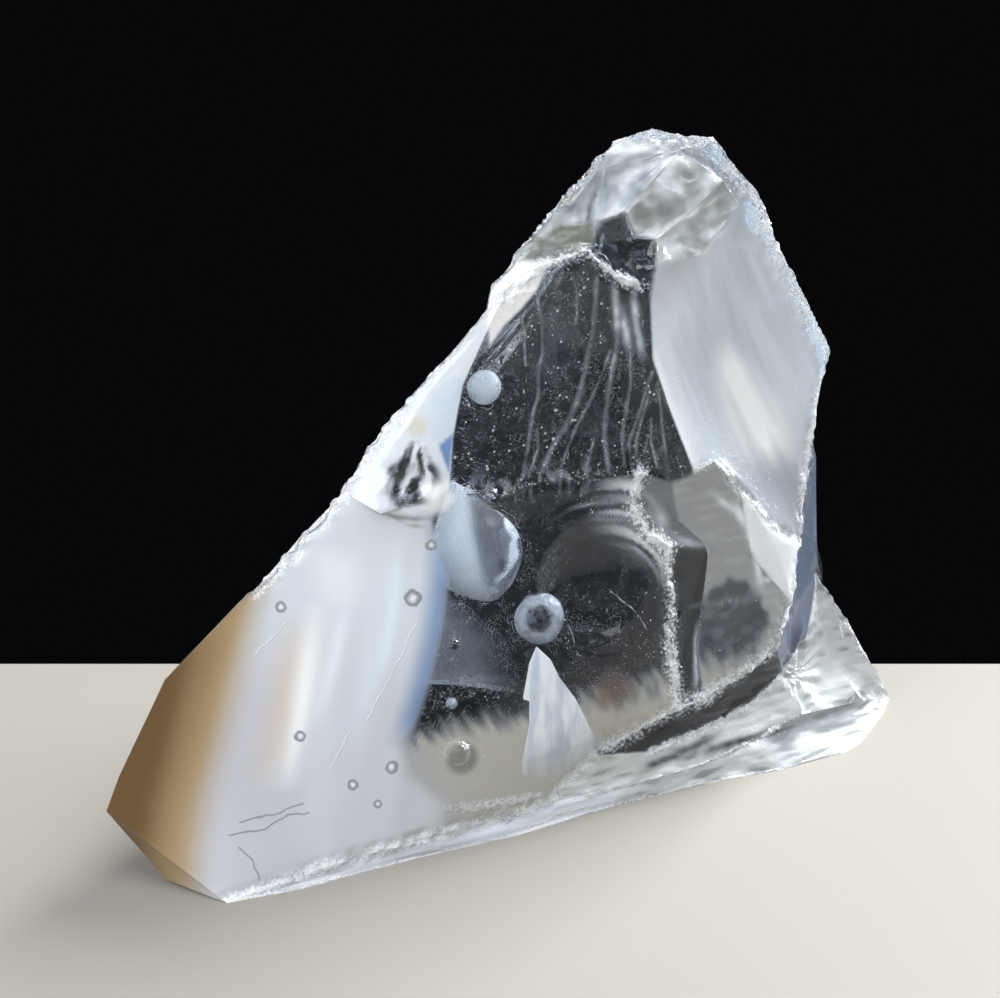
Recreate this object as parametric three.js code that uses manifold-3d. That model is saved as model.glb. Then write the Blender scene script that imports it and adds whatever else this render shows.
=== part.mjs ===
// A rough chunk of clear glass, broken out of a larger block: one solid body, about
// 58 mm wide, 37 mm deep and 48 mm high, lying on its one flat face. Millimetres, +Z up,
// origin under the middle of its bounding box. The big front face looks along -Y.
//
// Every fracture face is a closed loop of named corners. Its skin runs from the loop in to
// a middle point, and is dished or swollen by the face's own depth, as glass breaks in
// shells. A face may carry ribs, the low waves that spread from where the blow landed.

import * as THREE from 'three';
import { mergeVertices } from 'three/addons/utils/BufferGeometryUtils.js';
import Module from 'manifold-3d';

// Driving dimensions
const EDGE_STEP = 3; // longest straight piece along a face's edge
const RING_STEP = 3.3; // widest ring of a face's skin
const EVENING = 3; // how fast an uneven edge evens out towards the middle
const RIB_SPACING = 5.5;
const WELD = 1e-4;
const BALL_SIDES = 18;

// Corners of the outline as the front shows it, clockwise from the lowest one
const corners = {
  foot: [-20.5, -18.5, 0],
  left_tip: [-29, -14.7, 5.1],
  left_nick: [-28.2, -13.5, 7.1],
  left_shoulder: [-25, -10.5, 13.2],
  left_mid: [-18.8, -8, 19.2],
  left_bend: [-12.7, -5.3, 25.4],
  edge_a: [-10.9, -3.9, 28.2],
  edge_b: [-8.4, -2.9, 31],
  edge_c: [-4.7, -1.9, 34.8],
  edge_d: [-2.5, -1.1, 37.3],
  glint_top: [-2.2, -0.2, 38.8],
  edge_e: [-0.8, 0.7, 40.5],
  edge_f: [1.9, 2.2, 43.2],
  edge_g: [4.2, 3.7, 45.3],
  edge_h: [5.4, 4.9, 46.6],
  crown_a: [6.3, 5.9, 47.2],
  crown_b: [9, 7.2, 47.8],
  crown_c: [11.4, 8, 47.1],
  crown_d: [13.6, 8.9, 46.6],
  right_a: [14.6, 8.8, 45.1],
  right_b: [16.9, 9, 42.5],
  right_c: [19.1, 9.2, 37.6],
  right_d: [21.4, 9.2, 33.1],
  right_e: [22.8, 9.2, 30.2],
  right_f: [22.2, 8.6, 27.3],
  right_g: [21.8, 8.3, 24.2],
  right_h: [22.1, 8.4, 18.5],
  crook: [22.4, 8.3, 12.5],
  wedge_a: [25.4, 8.9, 7.8],
  wedge_b: [28, 10.1, 2.6],
  // the edge that lies on the table, from right to left
  wedge_tip: [29, 11.8, 0],
  floor_a: [28.3, 9.4, 0],
  floor_b: [26.2, 4.8, 0],
  floor_c: [24.5, 2.9, 0],
  floor_d: [19.6, 0.3, 0],
  floor_e: [13.6, -1.9, 0],
  floor_f: [7, -5, 0],
  floor_g: [-0.4, -9.4, 0],
  floor_h: [-7.5, -12.5, 0],
  floor_i: [-15.3, -16.6, 0],
  // the lower rim of the front face, and the long chipped ridge that it runs into
  rim_a: [-13.5, -15.2, 1],
  rim_b: [-6.6, -12.1, 1.4],
  rim_c: [-1.6, -9.7, 1.6],
  rim_d: [1.9, -7.8, 1.9],
  rim_e: [5.2, -5.4, 4.3],
  ridge_a: [8.9, -3.6, 5.4],
  ridge_b: [11.6, -2.1, 6.3],
  ridge_c: [13.5, -1, 6.7],
  ridge_d: [17.2, 0.8, 8],
  ridge_e: [19, 2.1, 9.3],
  ridge_f: [20.4, 3.9, 11.9],
  ridge_g: [20.9, 5.8, 16.2],
  ridge_h: [21.2, 7, 20.8],
  // the step from the front face down to the sunk flat beside it
  step_top: [8.5, -0.3, 24.5],
  step_a: [8, -1.1, 22.5],
  step_b: [9.1, -1.3, 20.3],
  step_c: [10.6, -1, 19.1],
  step_d: [11, -1.7, 15.1],
  step_e: [10.9, -1.9, 11.2],
  flat_a: [10.8, 1.1, 23.2],
  flat_b: [11.3, 1.1, 20.2],
  flat_c: [13.7, 1.5, 17.8],
  flat_d: [13.3, 0.8, 14.2],
  flat_e: [12.8, -0.1, 10.1],
  flat_middle: [15.1, 2.4, 17.9],
  lip: [16.9, 3, 16.4],
  // the cleft under the upper right hollow, and its seam with the clear window
  cleft_a: [12.4, 1.1, 23.8],
  cleft_b: [13.8, 2.2, 24.5],
  cleft_c: [16, 3.2, 21.7],
  cleft_d: [18.7, 4.3, 18.2],
  seam_a: [9.4, 2.8, 39],
  seam_b: [9, 2.4, 36.7],
  seam_c: [9.2, 1.7, 32.5],
  seam_d: [10.6, 1.5, 28.5],
  // the curved fringe under the window, and the narrow strip on its left
  fringe_a: [5.7, -1.7, 24.7],
  fringe_b: [1.6, -3.1, 25.1],
  fringe_c: [-1.6, -4.4, 24.6],
  fringe_d: [-5.1, -5.5, 25.3],
  strip_a: [-9.9, -6.9, 24.3],
  strip_b: [-4.9, -4.3, 28.8],
  strip_c: [-4.2, -2.9, 32.3],
  // the ledge over the window, and the small faces up to the top
  ledge_a: [-1.5, -0.9, 37.9],
  ledge_b: [1.4, 0.3, 40.2],
  ledge_c: [4.5, 1.4, 40.8],
  ledge_d: [6.4, 1.9, 38.9],
  ledge_e: [8.3, 2.3, 37.8],
  beak_a: [5, 2.6, 40.8],
  beak_b: [7.9, 4.4, 40.6],
  top_a: [2.8, 2.4, 42.1],
  top_b: [5.3, 3.2, 42.2],
  top_c: [5.8, 4.7, 45.6],
  top_d: [11.1, 7.1, 46.2],
  flake_a: [7.1, 3.5, 42.8],
  flake_b: [8.6, 4.5, 44.2],
  flake_c: [14.3, 7.6, 43.8],
  flake_d: [9.5, 3.9, 40.7],
  flake_e: [11.9, 5.9, 41.9],
  scoop_top: [15.5, 8.2, 41.8],
  scoop_a: [12.8, 5.8, 38.9],
  // two undercut bands and a shelf between the ridge and the table
  under_b: [9.6, -2.5, 3.1],
  under_c: [14.6, 0.4, 3.9],
  under_d: [17.7, 2.2, 4.7],
  under_e: [19.7, 4.1, 6],
  under_f: [21.5, 5.8, 8],
  under_g: [22, 7, 9.9],
  low_b: [7.2, -4.8, 1.2],
  low_c: [13.4, -1.8, 1.6],
  low_d: [18.2, 1.4, 2.3],
  low_e: [21.1, 3.4, 3],
  low_f: [26.6, 8, 1.8],
  // the back, whose faces are large and few
  heel: [-24.9, -15.9, 0.3],
  back_a: [-20.5, -4, 0],
  back_b: [-10, 18.4, 0],
  back_c: [15.5, 18.5, 0],
  back_d: [24.5, 17.2, 0],
  mid_a: [-19, 0, 9],
  mid_b: [-9.5, 15.5, 18],
  mid_c: [3.4, 11.5, 39],
  mid_d: [20.5, 15, 21],
  mid_e: [23, 15, 8],
};

// Fracture faces. A loop runs clockwise as the face is looked at from outside. dish is how
// far the middle is pushed in (a minus sign: swollen out), and ribs is the height of the
// waves, whose rings are centred on the loop's first corner.
const faces = {
  milk_face: {
    loop: ['foot', 'left_tip', 'left_nick', 'left_shoulder', 'left_mid', 'left_bend',
      'strip_a', 'fringe_d', 'fringe_c', 'fringe_b', 'fringe_a', 'step_top', 'step_a',
      'step_b', 'step_c', 'step_d', 'step_e', 'ridge_b', 'ridge_a', 'rim_e', 'rim_d',
      'rim_c', 'rim_b', 'rim_a'],
    dish: -1.2,
  },
  edge_strip: {
    loop: ['left_bend', 'edge_a', 'edge_b', 'edge_c', 'edge_d', 'ledge_a', 'strip_c',
      'strip_b', 'fringe_d', 'strip_a'],
    dish: -0.2,
  },
  window: {
    loop: ['ledge_a', 'ledge_b', 'ledge_c', 'ledge_d', 'ledge_e', 'seam_b', 'seam_c',
      'seam_d', 'cleft_a', 'flat_a', 'step_top', 'fringe_a', 'fringe_b', 'fringe_c',
      'fringe_d', 'strip_b', 'strip_c'],
    dish: 0.9,
  },
  glint: { loop: ['edge_d', 'glint_top', 'edge_e', 'ledge_b', 'ledge_a'], dish: -0.15 },
  olive: {
    loop: ['edge_e', 'edge_f', 'top_a', 'top_b', 'beak_a', 'ledge_c', 'ledge_b'],
    dish: 0.2,
  },
  beak: {
    loop: ['beak_a', 'top_b', 'flake_a', 'beak_b', 'flake_d', 'seam_a', 'seam_b',
      'ledge_e', 'ledge_d', 'ledge_c'],
    dish: 0.9,
  },
  stripes: { loop: ['edge_f', 'edge_g', 'edge_h', 'top_c', 'top_b', 'top_a'], dish: 0.3 },
  pale: { loop: ['top_c', 'top_d', 'flake_b', 'flake_a', 'top_b'], dish: 0.25 },
  crown: {
    loop: ['edge_h', 'crown_a', 'crown_b', 'crown_c', 'crown_d', 'top_d', 'top_c'],
    dish: -0.2,
  },
  flake: {
    loop: ['flake_a', 'flake_b', 'top_d', 'flake_c', 'flake_e', 'flake_d', 'beak_b'],
    dish: -0.35,
  },
  brow: {
    loop: ['top_d', 'crown_d', 'right_a', 'right_b', 'scoop_top', 'flake_c'],
    dish: 0.2,
  },
  cheek: {
    loop: ['flake_d', 'flake_e', 'flake_c', 'scoop_top', 'scoop_a', 'seam_a'],
    dish: 0.5,
  },
  scoop: {
    loop: ['seam_a', 'scoop_a', 'scoop_top', 'right_b', 'right_c', 'right_d', 'right_e',
      'right_f', 'right_g', 'ridge_h', 'ridge_g', 'cleft_d', 'cleft_c', 'cleft_b',
      'cleft_a', 'seam_d', 'seam_c', 'seam_b'],
    dish: 1.6,
  },
  side: {
    loop: ['right_g', 'right_h', 'crook', 'under_g', 'under_f', 'under_e', 'ridge_e',
      'ridge_f', 'ridge_g', 'ridge_h'],
    dish: 0.3,
  },
  sparkle: {
    loop: ['step_top', 'flat_a', 'flat_b', 'flat_c', 'step_c', 'step_b', 'step_a'],
    dish: 0.5,
  },
  wall: {
    loop: ['step_c', 'flat_c', 'flat_d', 'flat_e', 'ridge_c', 'ridge_b', 'step_e',
      'step_d'],
    dish: 0.35,
  },
  flat: {
    loop: ['flat_a', 'cleft_a', 'cleft_b', 'cleft_c', 'lip', 'ridge_f', 'ridge_e',
      'ridge_d', 'ridge_c', 'flat_e', 'flat_d', 'flat_c', 'flat_b'],
    dish: 0,
    middle: 'flat_middle',
  },
  lip_face: { loop: ['cleft_c', 'cleft_d', 'ridge_g', 'ridge_f', 'lip'], dish: -0.2 },
  shadow_left: {
    loop: ['rim_e', 'ridge_a', 'ridge_b', 'ridge_c', 'under_c', 'under_b'],
    dish: 0.35,
  },
  shadow_right: {
    loop: ['ridge_c', 'ridge_d', 'ridge_e', 'under_e', 'under_d', 'under_c'],
    dish: 0.4,
  },
  shelf_left: {
    loop: ['rim_e', 'under_b', 'under_c', 'low_c', 'low_b', 'rim_d'],
    dish: 0.3,
  },
  shelf_right: {
    loop: ['under_c', 'under_d', 'under_e', 'low_e', 'low_d', 'low_c'],
    dish: 0.3,
  },
  wedge: {
    loop: ['crook', 'wedge_a', 'wedge_b', 'wedge_tip', 'low_f', 'low_e', 'under_e',
      'under_f', 'under_g'],
    dish: 0.5,
  },
  hem_left: {
    loop: ['foot', 'rim_a', 'rim_b', 'rim_c', 'floor_g', 'floor_h', 'floor_i'],
    dish: 0.1,
  },
  hem_middle: { loop: ['rim_c', 'rim_d', 'low_b', 'floor_f', 'floor_g'], dish: 0.1 },
  hem_right: {
    loop: ['low_b', 'low_c', 'low_d', 'floor_d', 'floor_e', 'floor_f'],
    dish: 0.1,
  },
  hem_tip: {
    loop: ['low_d', 'low_e', 'low_f', 'wedge_tip', 'floor_a', 'floor_b', 'floor_c',
      'floor_d'],
    dish: -0.2,
  },
  heel_front: { loop: ['foot', 'heel', 'left_tip'], dish: 0.1 },
  heel_under: { loop: ['foot', 'back_a', 'heel'], dish: 0.05 },
  left_end: {
    loop: ['heel', 'back_a', 'mid_a', 'left_shoulder', 'left_nick', 'left_tip'],
    dish: 0.9,
    ribs: 0.2,
  },
  back_left: {
    loop: ['left_bend', 'left_mid', 'left_shoulder', 'mid_a', 'mid_b', 'edge_a'],
    dish: 1.1,
    ribs: 0.25,
  },
  back_slope: {
    loop: ['glint_top', 'edge_d', 'edge_c', 'edge_b', 'edge_a', 'mid_b', 'mid_c'],
    dish: 0.7,
    ribs: 0.2,
  },
  back_crown: {
    loop: ['glint_top', 'mid_c', 'crown_c', 'crown_b', 'crown_a', 'edge_h', 'edge_g',
      'edge_f', 'edge_e'],
    dish: 0.5,
    ribs: 0.15,
  },
  back_brow: {
    loop: ['crown_c', 'mid_c', 'mid_d', 'right_c', 'right_b', 'right_a', 'crown_d'],
    dish: 1.2,
    ribs: 0.25,
  },
  back_side: {
    loop: ['right_c', 'mid_d', 'mid_e', 'right_h', 'right_g', 'right_f', 'right_e',
      'right_d'],
    dish: 0.8,
    ribs: 0.2,
  },
  back_wedge: {
    loop: ['right_h', 'mid_e', 'back_d', 'wedge_tip', 'wedge_b', 'wedge_a', 'crook'],
    dish: 0.8,
    ribs: 0.2,
  },
  back_low_left: { loop: ['mid_a', 'back_a', 'back_b', 'mid_b'], dish: 1.2, ribs: 0.25 },
  back_middle: {
    loop: ['mid_c', 'mid_b', 'back_b', 'back_c', 'mid_d'],
    dish: 0.8,
  },
  back_low_right: { loop: ['mid_d', 'back_c', 'back_d', 'mid_e'], dish: 0.6, ribs: 0.2 },
  under: {
    loop: ['foot', 'floor_i', 'floor_h', 'floor_g', 'floor_f', 'floor_e', 'floor_d',
      'floor_c', 'floor_b', 'floor_a', 'wedge_tip', 'back_d', 'back_c', 'back_b',
      'back_a'],
    dish: 0,
  },
};

// Hollows that opened at the surface: where, how large, and their radii along X, Y and Z
const hollows = [
  { at: [-7.6, -7, 26.6], radii: [2.1, 2, 1.8] }, // pit beside the large bubble
  { at: [7.2, -13, 19.4], radii: [9, 11.2, 9.5] }, // shallow shell right of the bubbles
  { at: [20.6, 3.2, 5.6], radii: [0.9, 1.4, 0.8] }, // hole at the root of the wedge
];

const corner = (name) => new THREE.Vector3(...corners[name]);

// Points from one corner up to, but not including, the next: the same ones whichever of
// the two faces on that edge asks
function edgePoints(from, to) {
  const [first, last] = from < to ? [from, to] : [to, from];
  const a = corner(first);
  const b = corner(last);
  const count = Math.max(1, Math.ceil(a.distanceTo(b) / EDGE_STEP));
  const points = [];
  for (let i = 0; i <= count; i += 1) points.push(a.clone().lerp(b, i / count));
  if (first !== from) points.reverse();
  return points.slice(0, -1);
}

// Newell's normal of a closed outline, pointing out of the glass
function outwardNormal(outline, middle) {
  const normal = new THREE.Vector3();
  outline.forEach((p, i) => {
    const q = outline[(i + 1) % outline.length];
    const arm = q.clone().sub(middle);
    normal.add(arm.cross(p.clone().sub(middle)));
  });
  return normal.normalize();
}

// One fracture face: rings of points from the outline in to the middle. At share s of the
// way out, a point stands off the face's plane by the edge's own height times s cubed,
// less the dish times (1 - s squared), plus the ribs.
function addFace(triangles, { loop, dish, ribs = 0, middle: middleName }) {
  const outline = loop.flatMap((name, i) => edgePoints(name, loop[(i + 1) % loop.length]));
  const middle = new THREE.Vector3();
  if (middleName) middle.copy(corner(middleName));
  else loop.forEach((name) => middle.addScaledVector(corner(name), 1 / loop.length));
  const normal = outwardNormal(outline, middle);
  const heights = outline.map((p) => p.clone().sub(middle).dot(normal));
  const reach = Math.max(...outline.map((p) => p.distanceTo(middle)));
  const ringCount = Math.max(1, Math.ceil(reach / RING_STEP));
  const blow = corner(loop[0]);

  const pointAt = (i, share) => {
    const evened = heights[i] * (share ** EVENING - share);
    const point = middle.clone().lerp(outline[i], share);
    const wave = Math.cos((2 * Math.PI * point.distanceTo(blow)) / RIB_SPACING);
    const lift = evened - dish * (1 - share ** 2) + ribs * wave * (1 - share ** 4);
    return point.addScaledVector(normal, lift);
  };
  const top = pointAt(0, 0);
  const rings = [];
  for (let r = 1; r <= ringCount; r += 1) {
    rings.push(outline.map((p, i) => (r === ringCount ? p : pointAt(i, r / ringCount))));
  }
  outline.forEach((_, i) => {
    const j = (i + 1) % outline.length;
    triangles.push(top, rings[0][j], rings[0][i]);
    for (let r = 1; r < ringCount; r += 1) {
      const [inner, outer] = [rings[r - 1], rings[r]];
      triangles.push(inner[i], outer[j], outer[i], inner[i], inner[j], outer[j]);
    }
  });
}

function chunkGeometry() {
  const triangles = [];
  Object.values(faces).forEach((face) => addFace(triangles, face));
  const geometry = new THREE.BufferGeometry().setFromPoints(triangles);
  return mergeVertices(geometry, WELD);
}

function ballGeometry({ at, radii }) {
  const ball = new THREE.SphereGeometry(1, BALL_SIDES, BALL_SIDES / 2);
  ball.deleteAttribute('normal');
  ball.deleteAttribute('uv');
  ball.scale(...radii);
  ball.translate(...at);
  return mergeVertices(ball, WELD);
}

const wasm = await Module();
wasm.setup();

function solid(geometry) {
  const mesh = new wasm.Mesh({
    numProp: 3,
    vertProperties: new Float32Array(geometry.attributes.position.array),
    triVerts: new Uint32Array(geometry.index.array),
  });
  return new wasm.Manifold(mesh);
}

function geometryOf(body) {
  const mesh = body.getMesh();
  const geometry = new THREE.BufferGeometry();
  geometry.setAttribute('position', new THREE.BufferAttribute(mesh.vertProperties, 3));
  geometry.setIndex(new THREE.BufferAttribute(mesh.triVerts, 1));
  geometry.computeVertexNormals();
  return geometry;
}

let chunk = solid(chunkGeometry());
hollows.forEach((hollow) => {
  chunk = chunk.subtract(solid(ballGeometry(hollow)));
});

const clearGlass = new THREE.MeshStandardMaterial({
  color: 0xdfe6ee,
  roughness: 0.05,
  metalness: 0,
  transparent: true,
  opacity: 0.4,
});

const glassChunk = new THREE.Mesh(geometryOf(chunk), clearGlass);
glassChunk.name = 'glass_chunk';

const andaraGlass = new THREE.Group();
andaraGlass.add(glassChunk);

export default andaraGlass;
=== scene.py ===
"""Rough chunk of clear, partly milky glass, lying on its one flat break.

The chunk is one skin of fracture faces. Each face is a closed loop of named corners, and its
surface is worked out on a grid of two parameters: the place round the loop, and the share of
the way from the face's middle out to the loop. Neighbouring faces use the same edge points,
so the skin is closed. Lengths are written in millimetres and turned to metres by MM.
"""

import math

import bpy
import numpy as np
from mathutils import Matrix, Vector


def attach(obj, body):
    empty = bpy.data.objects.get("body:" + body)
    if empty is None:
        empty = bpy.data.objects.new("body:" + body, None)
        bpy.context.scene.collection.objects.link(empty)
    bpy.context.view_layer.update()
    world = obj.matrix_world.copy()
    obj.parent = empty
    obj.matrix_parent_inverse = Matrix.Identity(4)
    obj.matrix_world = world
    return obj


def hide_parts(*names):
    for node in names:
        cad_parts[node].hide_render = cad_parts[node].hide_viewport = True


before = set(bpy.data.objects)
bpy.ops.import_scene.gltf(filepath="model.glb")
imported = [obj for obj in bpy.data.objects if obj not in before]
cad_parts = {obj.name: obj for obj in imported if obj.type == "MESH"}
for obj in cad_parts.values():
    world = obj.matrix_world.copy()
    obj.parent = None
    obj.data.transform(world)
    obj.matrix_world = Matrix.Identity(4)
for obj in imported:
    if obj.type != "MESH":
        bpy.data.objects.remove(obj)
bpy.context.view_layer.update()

MM = 0.001

# The photograph's viewpoint, in millimetres
CAMERA_TARGET = (-1.6, -3.7, 24)
CAMERA_DISTANCE = 206
CAMERA_ELEVATION = math.radians(24)
CAMERA_LENS = 105.3
SENSOR_WIDTH = 36

# Corners by name, in millimetres: first the outline as the front shows it, clockwise from
# the lowest one. A name such as edge:abc stands for edge_a, edge_b and edge_c.
CORNER_RUNS = {
    "foot left_tip left_nick": [(-20.5, -18.5, 0), (-29, -14.7, 5.1), (-28.2, -13.5, 7.1)],
    "left_shoulder left_mid left_bend": [(-25, -10.5, 13.2), (-18.8, -8, 19.2), (-12.7, -5.3, 25.4)],
    "edge:abcd": [(-10.9, -3.9, 28.2), (-8.4, -2.9, 31), (-4.7, -1.9, 34.8), (-2.5, -1.1, 37.3)],
    "glint_top": [(-2.2, -0.2, 38.8)],
    "edge:efgh": [(-0.8, 0.7, 40.5), (1.9, 2.2, 43.2), (4.2, 3.7, 45.3), (5.4, 4.9, 46.6)],
    "crown:abcd": [(6.3, 5.9, 47.2), (9, 7.2, 47.8), (11.4, 8, 47.1), (13.6, 8.9, 46.6)],
    "right:abcdefgh": [
        (14.6, 8.8, 45.1), (16.9, 9, 42.5), (19.1, 9.2, 37.6), (21.4, 9.2, 33.1), (22.8, 9.2, 30.2),
        (22.2, 8.6, 27.3), (21.8, 8.3, 24.2), (22.1, 8.4, 18.5)],
    "crook": [(22.4, 8.3, 12.5)],
    "wedge:ab": [(25.4, 8.9, 7.8), (28, 10.1, 2.6)],
    # the edge that lies on the table, from right to left
    "wedge_tip": [(29, 11.8, 0)],
    "floor:abcdefghi": [
        (28.3, 9.4, 0), (26.2, 4.8, 0), (24.5, 2.9, 0), (19.6, 0.3, 0), (13.6, -1.9, 0), (7, -5, 0),
        (-0.4, -9.4, 0), (-7.5, -12.5, 0), (-15.3, -16.6, 0)],
    # the lower rim of the front face, and the long chipped ridge that it runs into
    "rim:abcde": [
        (-13.5, -15.2, 1), (-6.6, -12.1, 1.4), (-1.6, -9.7, 1.6), (1.9, -7.8, 1.9),
        (5.2, -5.4, 4.3)],
    "ridge:abcdefgh": [
        (8.9, -3.6, 5.4), (11.6, -2.1, 6.3), (13.5, -1, 6.7), (17.2, 0.8, 8), (19, 2.1, 9.3),
        (20.4, 3.9, 11.9), (20.9, 5.8, 16.2), (21.2, 7, 20.8)],
    # the step from the front face down to the sunk flat beside it
    "step_top": [(8.5, -0.3, 24.5)],
    "step:abcde": [
        (8, -1.1, 22.5), (9.1, -1.3, 20.3), (10.6, -1, 19.1), (11, -1.7, 15.1), (10.9, -1.9, 11.2)],
    "flat:abcde": [
        (10.8, 1.1, 23.2), (11.3, 1.1, 20.2), (13.7, 1.5, 17.8), (13.3, 0.8, 14.2),
        (12.8, -0.1, 10.1)],
    "flat_middle lip": [(15.1, 2.4, 17.9), (16.9, 3, 16.4)],
    # the cleft under the upper right hollow, and its seam with the clear window
    "cleft:abcd": [(12.4, 1.1, 23.8), (13.8, 2.2, 24.5), (16, 3.2, 21.7), (18.7, 4.3, 18.2)],
    "seam:abcd": [(9.4, 2.8, 39), (9, 2.4, 36.7), (9.2, 1.7, 32.5), (10.6, 1.5, 28.5)],
    # the curved fringe under the window, and the narrow strip on its left
    "fringe:abcd": [(5.7, -1.7, 24.7), (1.6, -3.1, 25.1), (-1.6, -4.4, 24.6), (-5.1, -5.5, 25.3)],
    "strip:abc": [(-9.9, -6.9, 24.3), (-4.9, -4.3, 28.8), (-4.2, -2.9, 32.3)],
    # the ledge over the window, and the small faces up to the top
    "ledge:abcde": [
        (-1.5, -0.9, 37.9), (1.4, 0.3, 40.2), (4.5, 1.4, 40.8), (6.4, 1.9, 38.9), (8.3, 2.3, 37.8)],
    "beak:ab": [(5, 2.6, 40.8), (7.9, 4.4, 40.6)],
    "top:abcd": [(2.8, 2.4, 42.1), (5.3, 3.2, 42.2), (5.8, 4.7, 45.6), (11.1, 7.1, 46.2)],
    "flake:abcde": [
        (7.1, 3.5, 42.8), (8.6, 4.5, 44.2), (14.3, 7.6, 43.8), (9.5, 3.9, 40.7), (11.9, 5.9, 41.9)],
    "scoop_top": [(15.5, 8.2, 41.8)],
    "scoop_a": [(12.8, 5.8, 38.9)],
    # two undercut bands and a shelf between the ridge and the table
    "under:bcdefg": [
        (9.6, -2.5, 3.1), (14.6, 0.4, 3.9), (17.7, 2.2, 4.7), (19.7, 4.1, 6), (21.5, 5.8, 8),
        (22, 7, 9.9)],
    "low:bcdef": [
        (7.2, -4.8, 1.2), (13.4, -1.8, 1.6), (18.2, 1.4, 2.3), (21.1, 3.4, 3), (26.6, 8, 1.8)],
    # the back, whose faces are large and few
    "heel": [(-24.9, -15.9, 0.3)],
    "back:abcd": [(-20.5, -4, 0), (-10, 18.4, 0), (15.5, 18.5, 0), (24.5, 17.2, 0)],
    "mid:abcde": [(-19, 0, 9), (-9.5, 15.5, 18), (3.4, 11.5, 39), (20.5, 15, 21), (23, 15, 8)],
}


def corner_names(words):
    """The corners that the words stand for, with each run of letters spelled out."""
    runs = [word.partition(":") for word in words.split()]
    return [f"{stem}_{letter}" if letters else stem
            for stem, _, letters in runs for letter in letters or " "]


CORNERS = {name: place for words, places in CORNER_RUNS.items()
           for name, place in zip(corner_names(words), places)}

# Fracture faces: the loop, clockwise as it is looked at from outside; dish, how far the
# middle is pushed in; ribs, the height of the waves round the loop's first corner; and the
# corner in its middle, where that isn't the mean of the loop
FACES = {
    "milk_face": ("foot left_tip left_nick left_shoulder left_mid left_bend strip_a fringe:dcba "
                  "step_top step:abcde ridge:ba rim:edcba", -1.2),
    "edge_strip": ("left_bend edge:abcd ledge_a strip:cb fringe_d strip_a", -0.2),
    "window": ("ledge:abcde seam:bcd cleft_a flat_a step_top fringe:abcd strip:bc", 0.9),
    "glint": ("edge_d glint_top edge_e ledge:ba", -0.15),
    "olive": ("edge:ef top:ab beak_a ledge:cb", 0.2),
    "beak": ("beak_a top_b flake_a beak_b flake_d seam:ab ledge:edc", 0.9),
    "stripes": ("edge:fgh top:cba", 0.3),
    "pale": ("top:cd flake:ba top_b", 0.25),
    "crown": ("edge_h crown:abcd top:dc", -0.2),
    "flake": ("flake:ab top_d flake:ced beak_b", -0.35),
    "brow": ("top_d crown_d right:ab scoop_top flake_c", 0.2),
    "cheek": ("flake:dec scoop_top scoop_a seam_a", 0.5),
    "scoop": ("seam_a scoop_a scoop_top right:bcdefg ridge:hg cleft:dcba seam:dcb", 1.6),
    "side": ("right:gh crook under:gfe ridge:efgh", 0.3),
    "sparkle": ("step_top flat:abc step:cba", 0.5),
    "wall": ("step_c flat:cde ridge:cb step:ed", 0.35),
    "flat": ("flat_a cleft:abc lip ridge:fedc flat:edcb", 0, 0, "flat_middle"),
    "lip_face": ("cleft:cd ridge:gf lip", -0.2),
    "shadow_left": ("rim_e ridge:abc under:cb", 0.35),
    "shadow_right": ("ridge:cde under:edc", 0.4),
    "shelf_left": ("rim_e under:bc low:cb rim_d", 0.3),
    "shelf_right": ("under:cde low:edc", 0.3),
    "wedge": ("crook wedge:ab wedge_tip low:fe under:efg", 0.5),
    "hem_left": ("foot rim:abc floor:ghi", 0.1),
    "hem_middle": ("rim:cd low_b floor:fg", 0.1),
    "hem_right": ("low:bcd floor:def", 0.1),
    "hem_tip": ("low:def wedge_tip floor:abcd", -0.2),
    "heel_front": ("foot heel left_tip", 0.1),
    "heel_under": ("foot back_a heel", 0.05),
    "left_end": ("heel back_a mid_a left_shoulder left_nick left_tip", 0.9, 0.2),
    "back_left": ("left_bend left_mid left_shoulder mid:ab edge_a", 1.1, 0.25),
    "back_slope": ("glint_top edge:dcba mid:bc", 0.7, 0.2),
    "back_crown": ("glint_top mid_c crown:cba edge:hgfe", 0.5, 0.15),
    "back_brow": ("crown_c mid:cd right:cba crown_d", 1.2, 0.25),
    "back_side": ("right_c mid:de right:hgfed", 0.8, 0.2),
    "back_wedge": ("right_h mid_e back_d wedge_tip wedge:ba crook", 0.8, 0.2),
    "back_low_left": ("mid_a back:ab mid_b", 1.2, 0.25),
    "back_middle": ("mid:cb back:bc mid_d", 0.8),
    "back_low_right": ("mid_d back:cd mid_e", 0.6, 0.2),
    "under": ("foot floor:ihgfedcba wedge_tip back:dcba", 0),
}

# The grid's spacing on the front, on the clear window and on the back
FRONT_STEP = 0.24
WINDOW_STEP = 0.14
BACK_STEP = 0.5
# The power of the share of the way out by which an edge's own height counts inside a face
EVENING = 3
RIB_SPACING = 5.5
# How often the points of the broad faces move to the mean of their neighbours
RELAX_ROUNDS = 90

BACK_FACES = [name for name in FACES if name.startswith("back_")] + ["under", "left_end"]
BROAD_FACES = "scoop milk_face flat edge_strip window"
FACE_NUMBER = {name: number for number, name in enumerate(FACES)}

# Ellipsoid hollows broken into the front: middle, radii, and the way that leads into the glass
HOLLOWS = [
    ((-7.6, -7, 26.6), (2.1, 2, 1.8), (0.1, 0.9, -0.4)),
    ((7.2, -13, 19.4), (9, 11.2, 9.5), (0.1, 0.95, -0.3)),
    ((20.6, 3.2, 5.6), (0.9, 1.4, 0.8), (0, 1, 0)),
]


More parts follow.
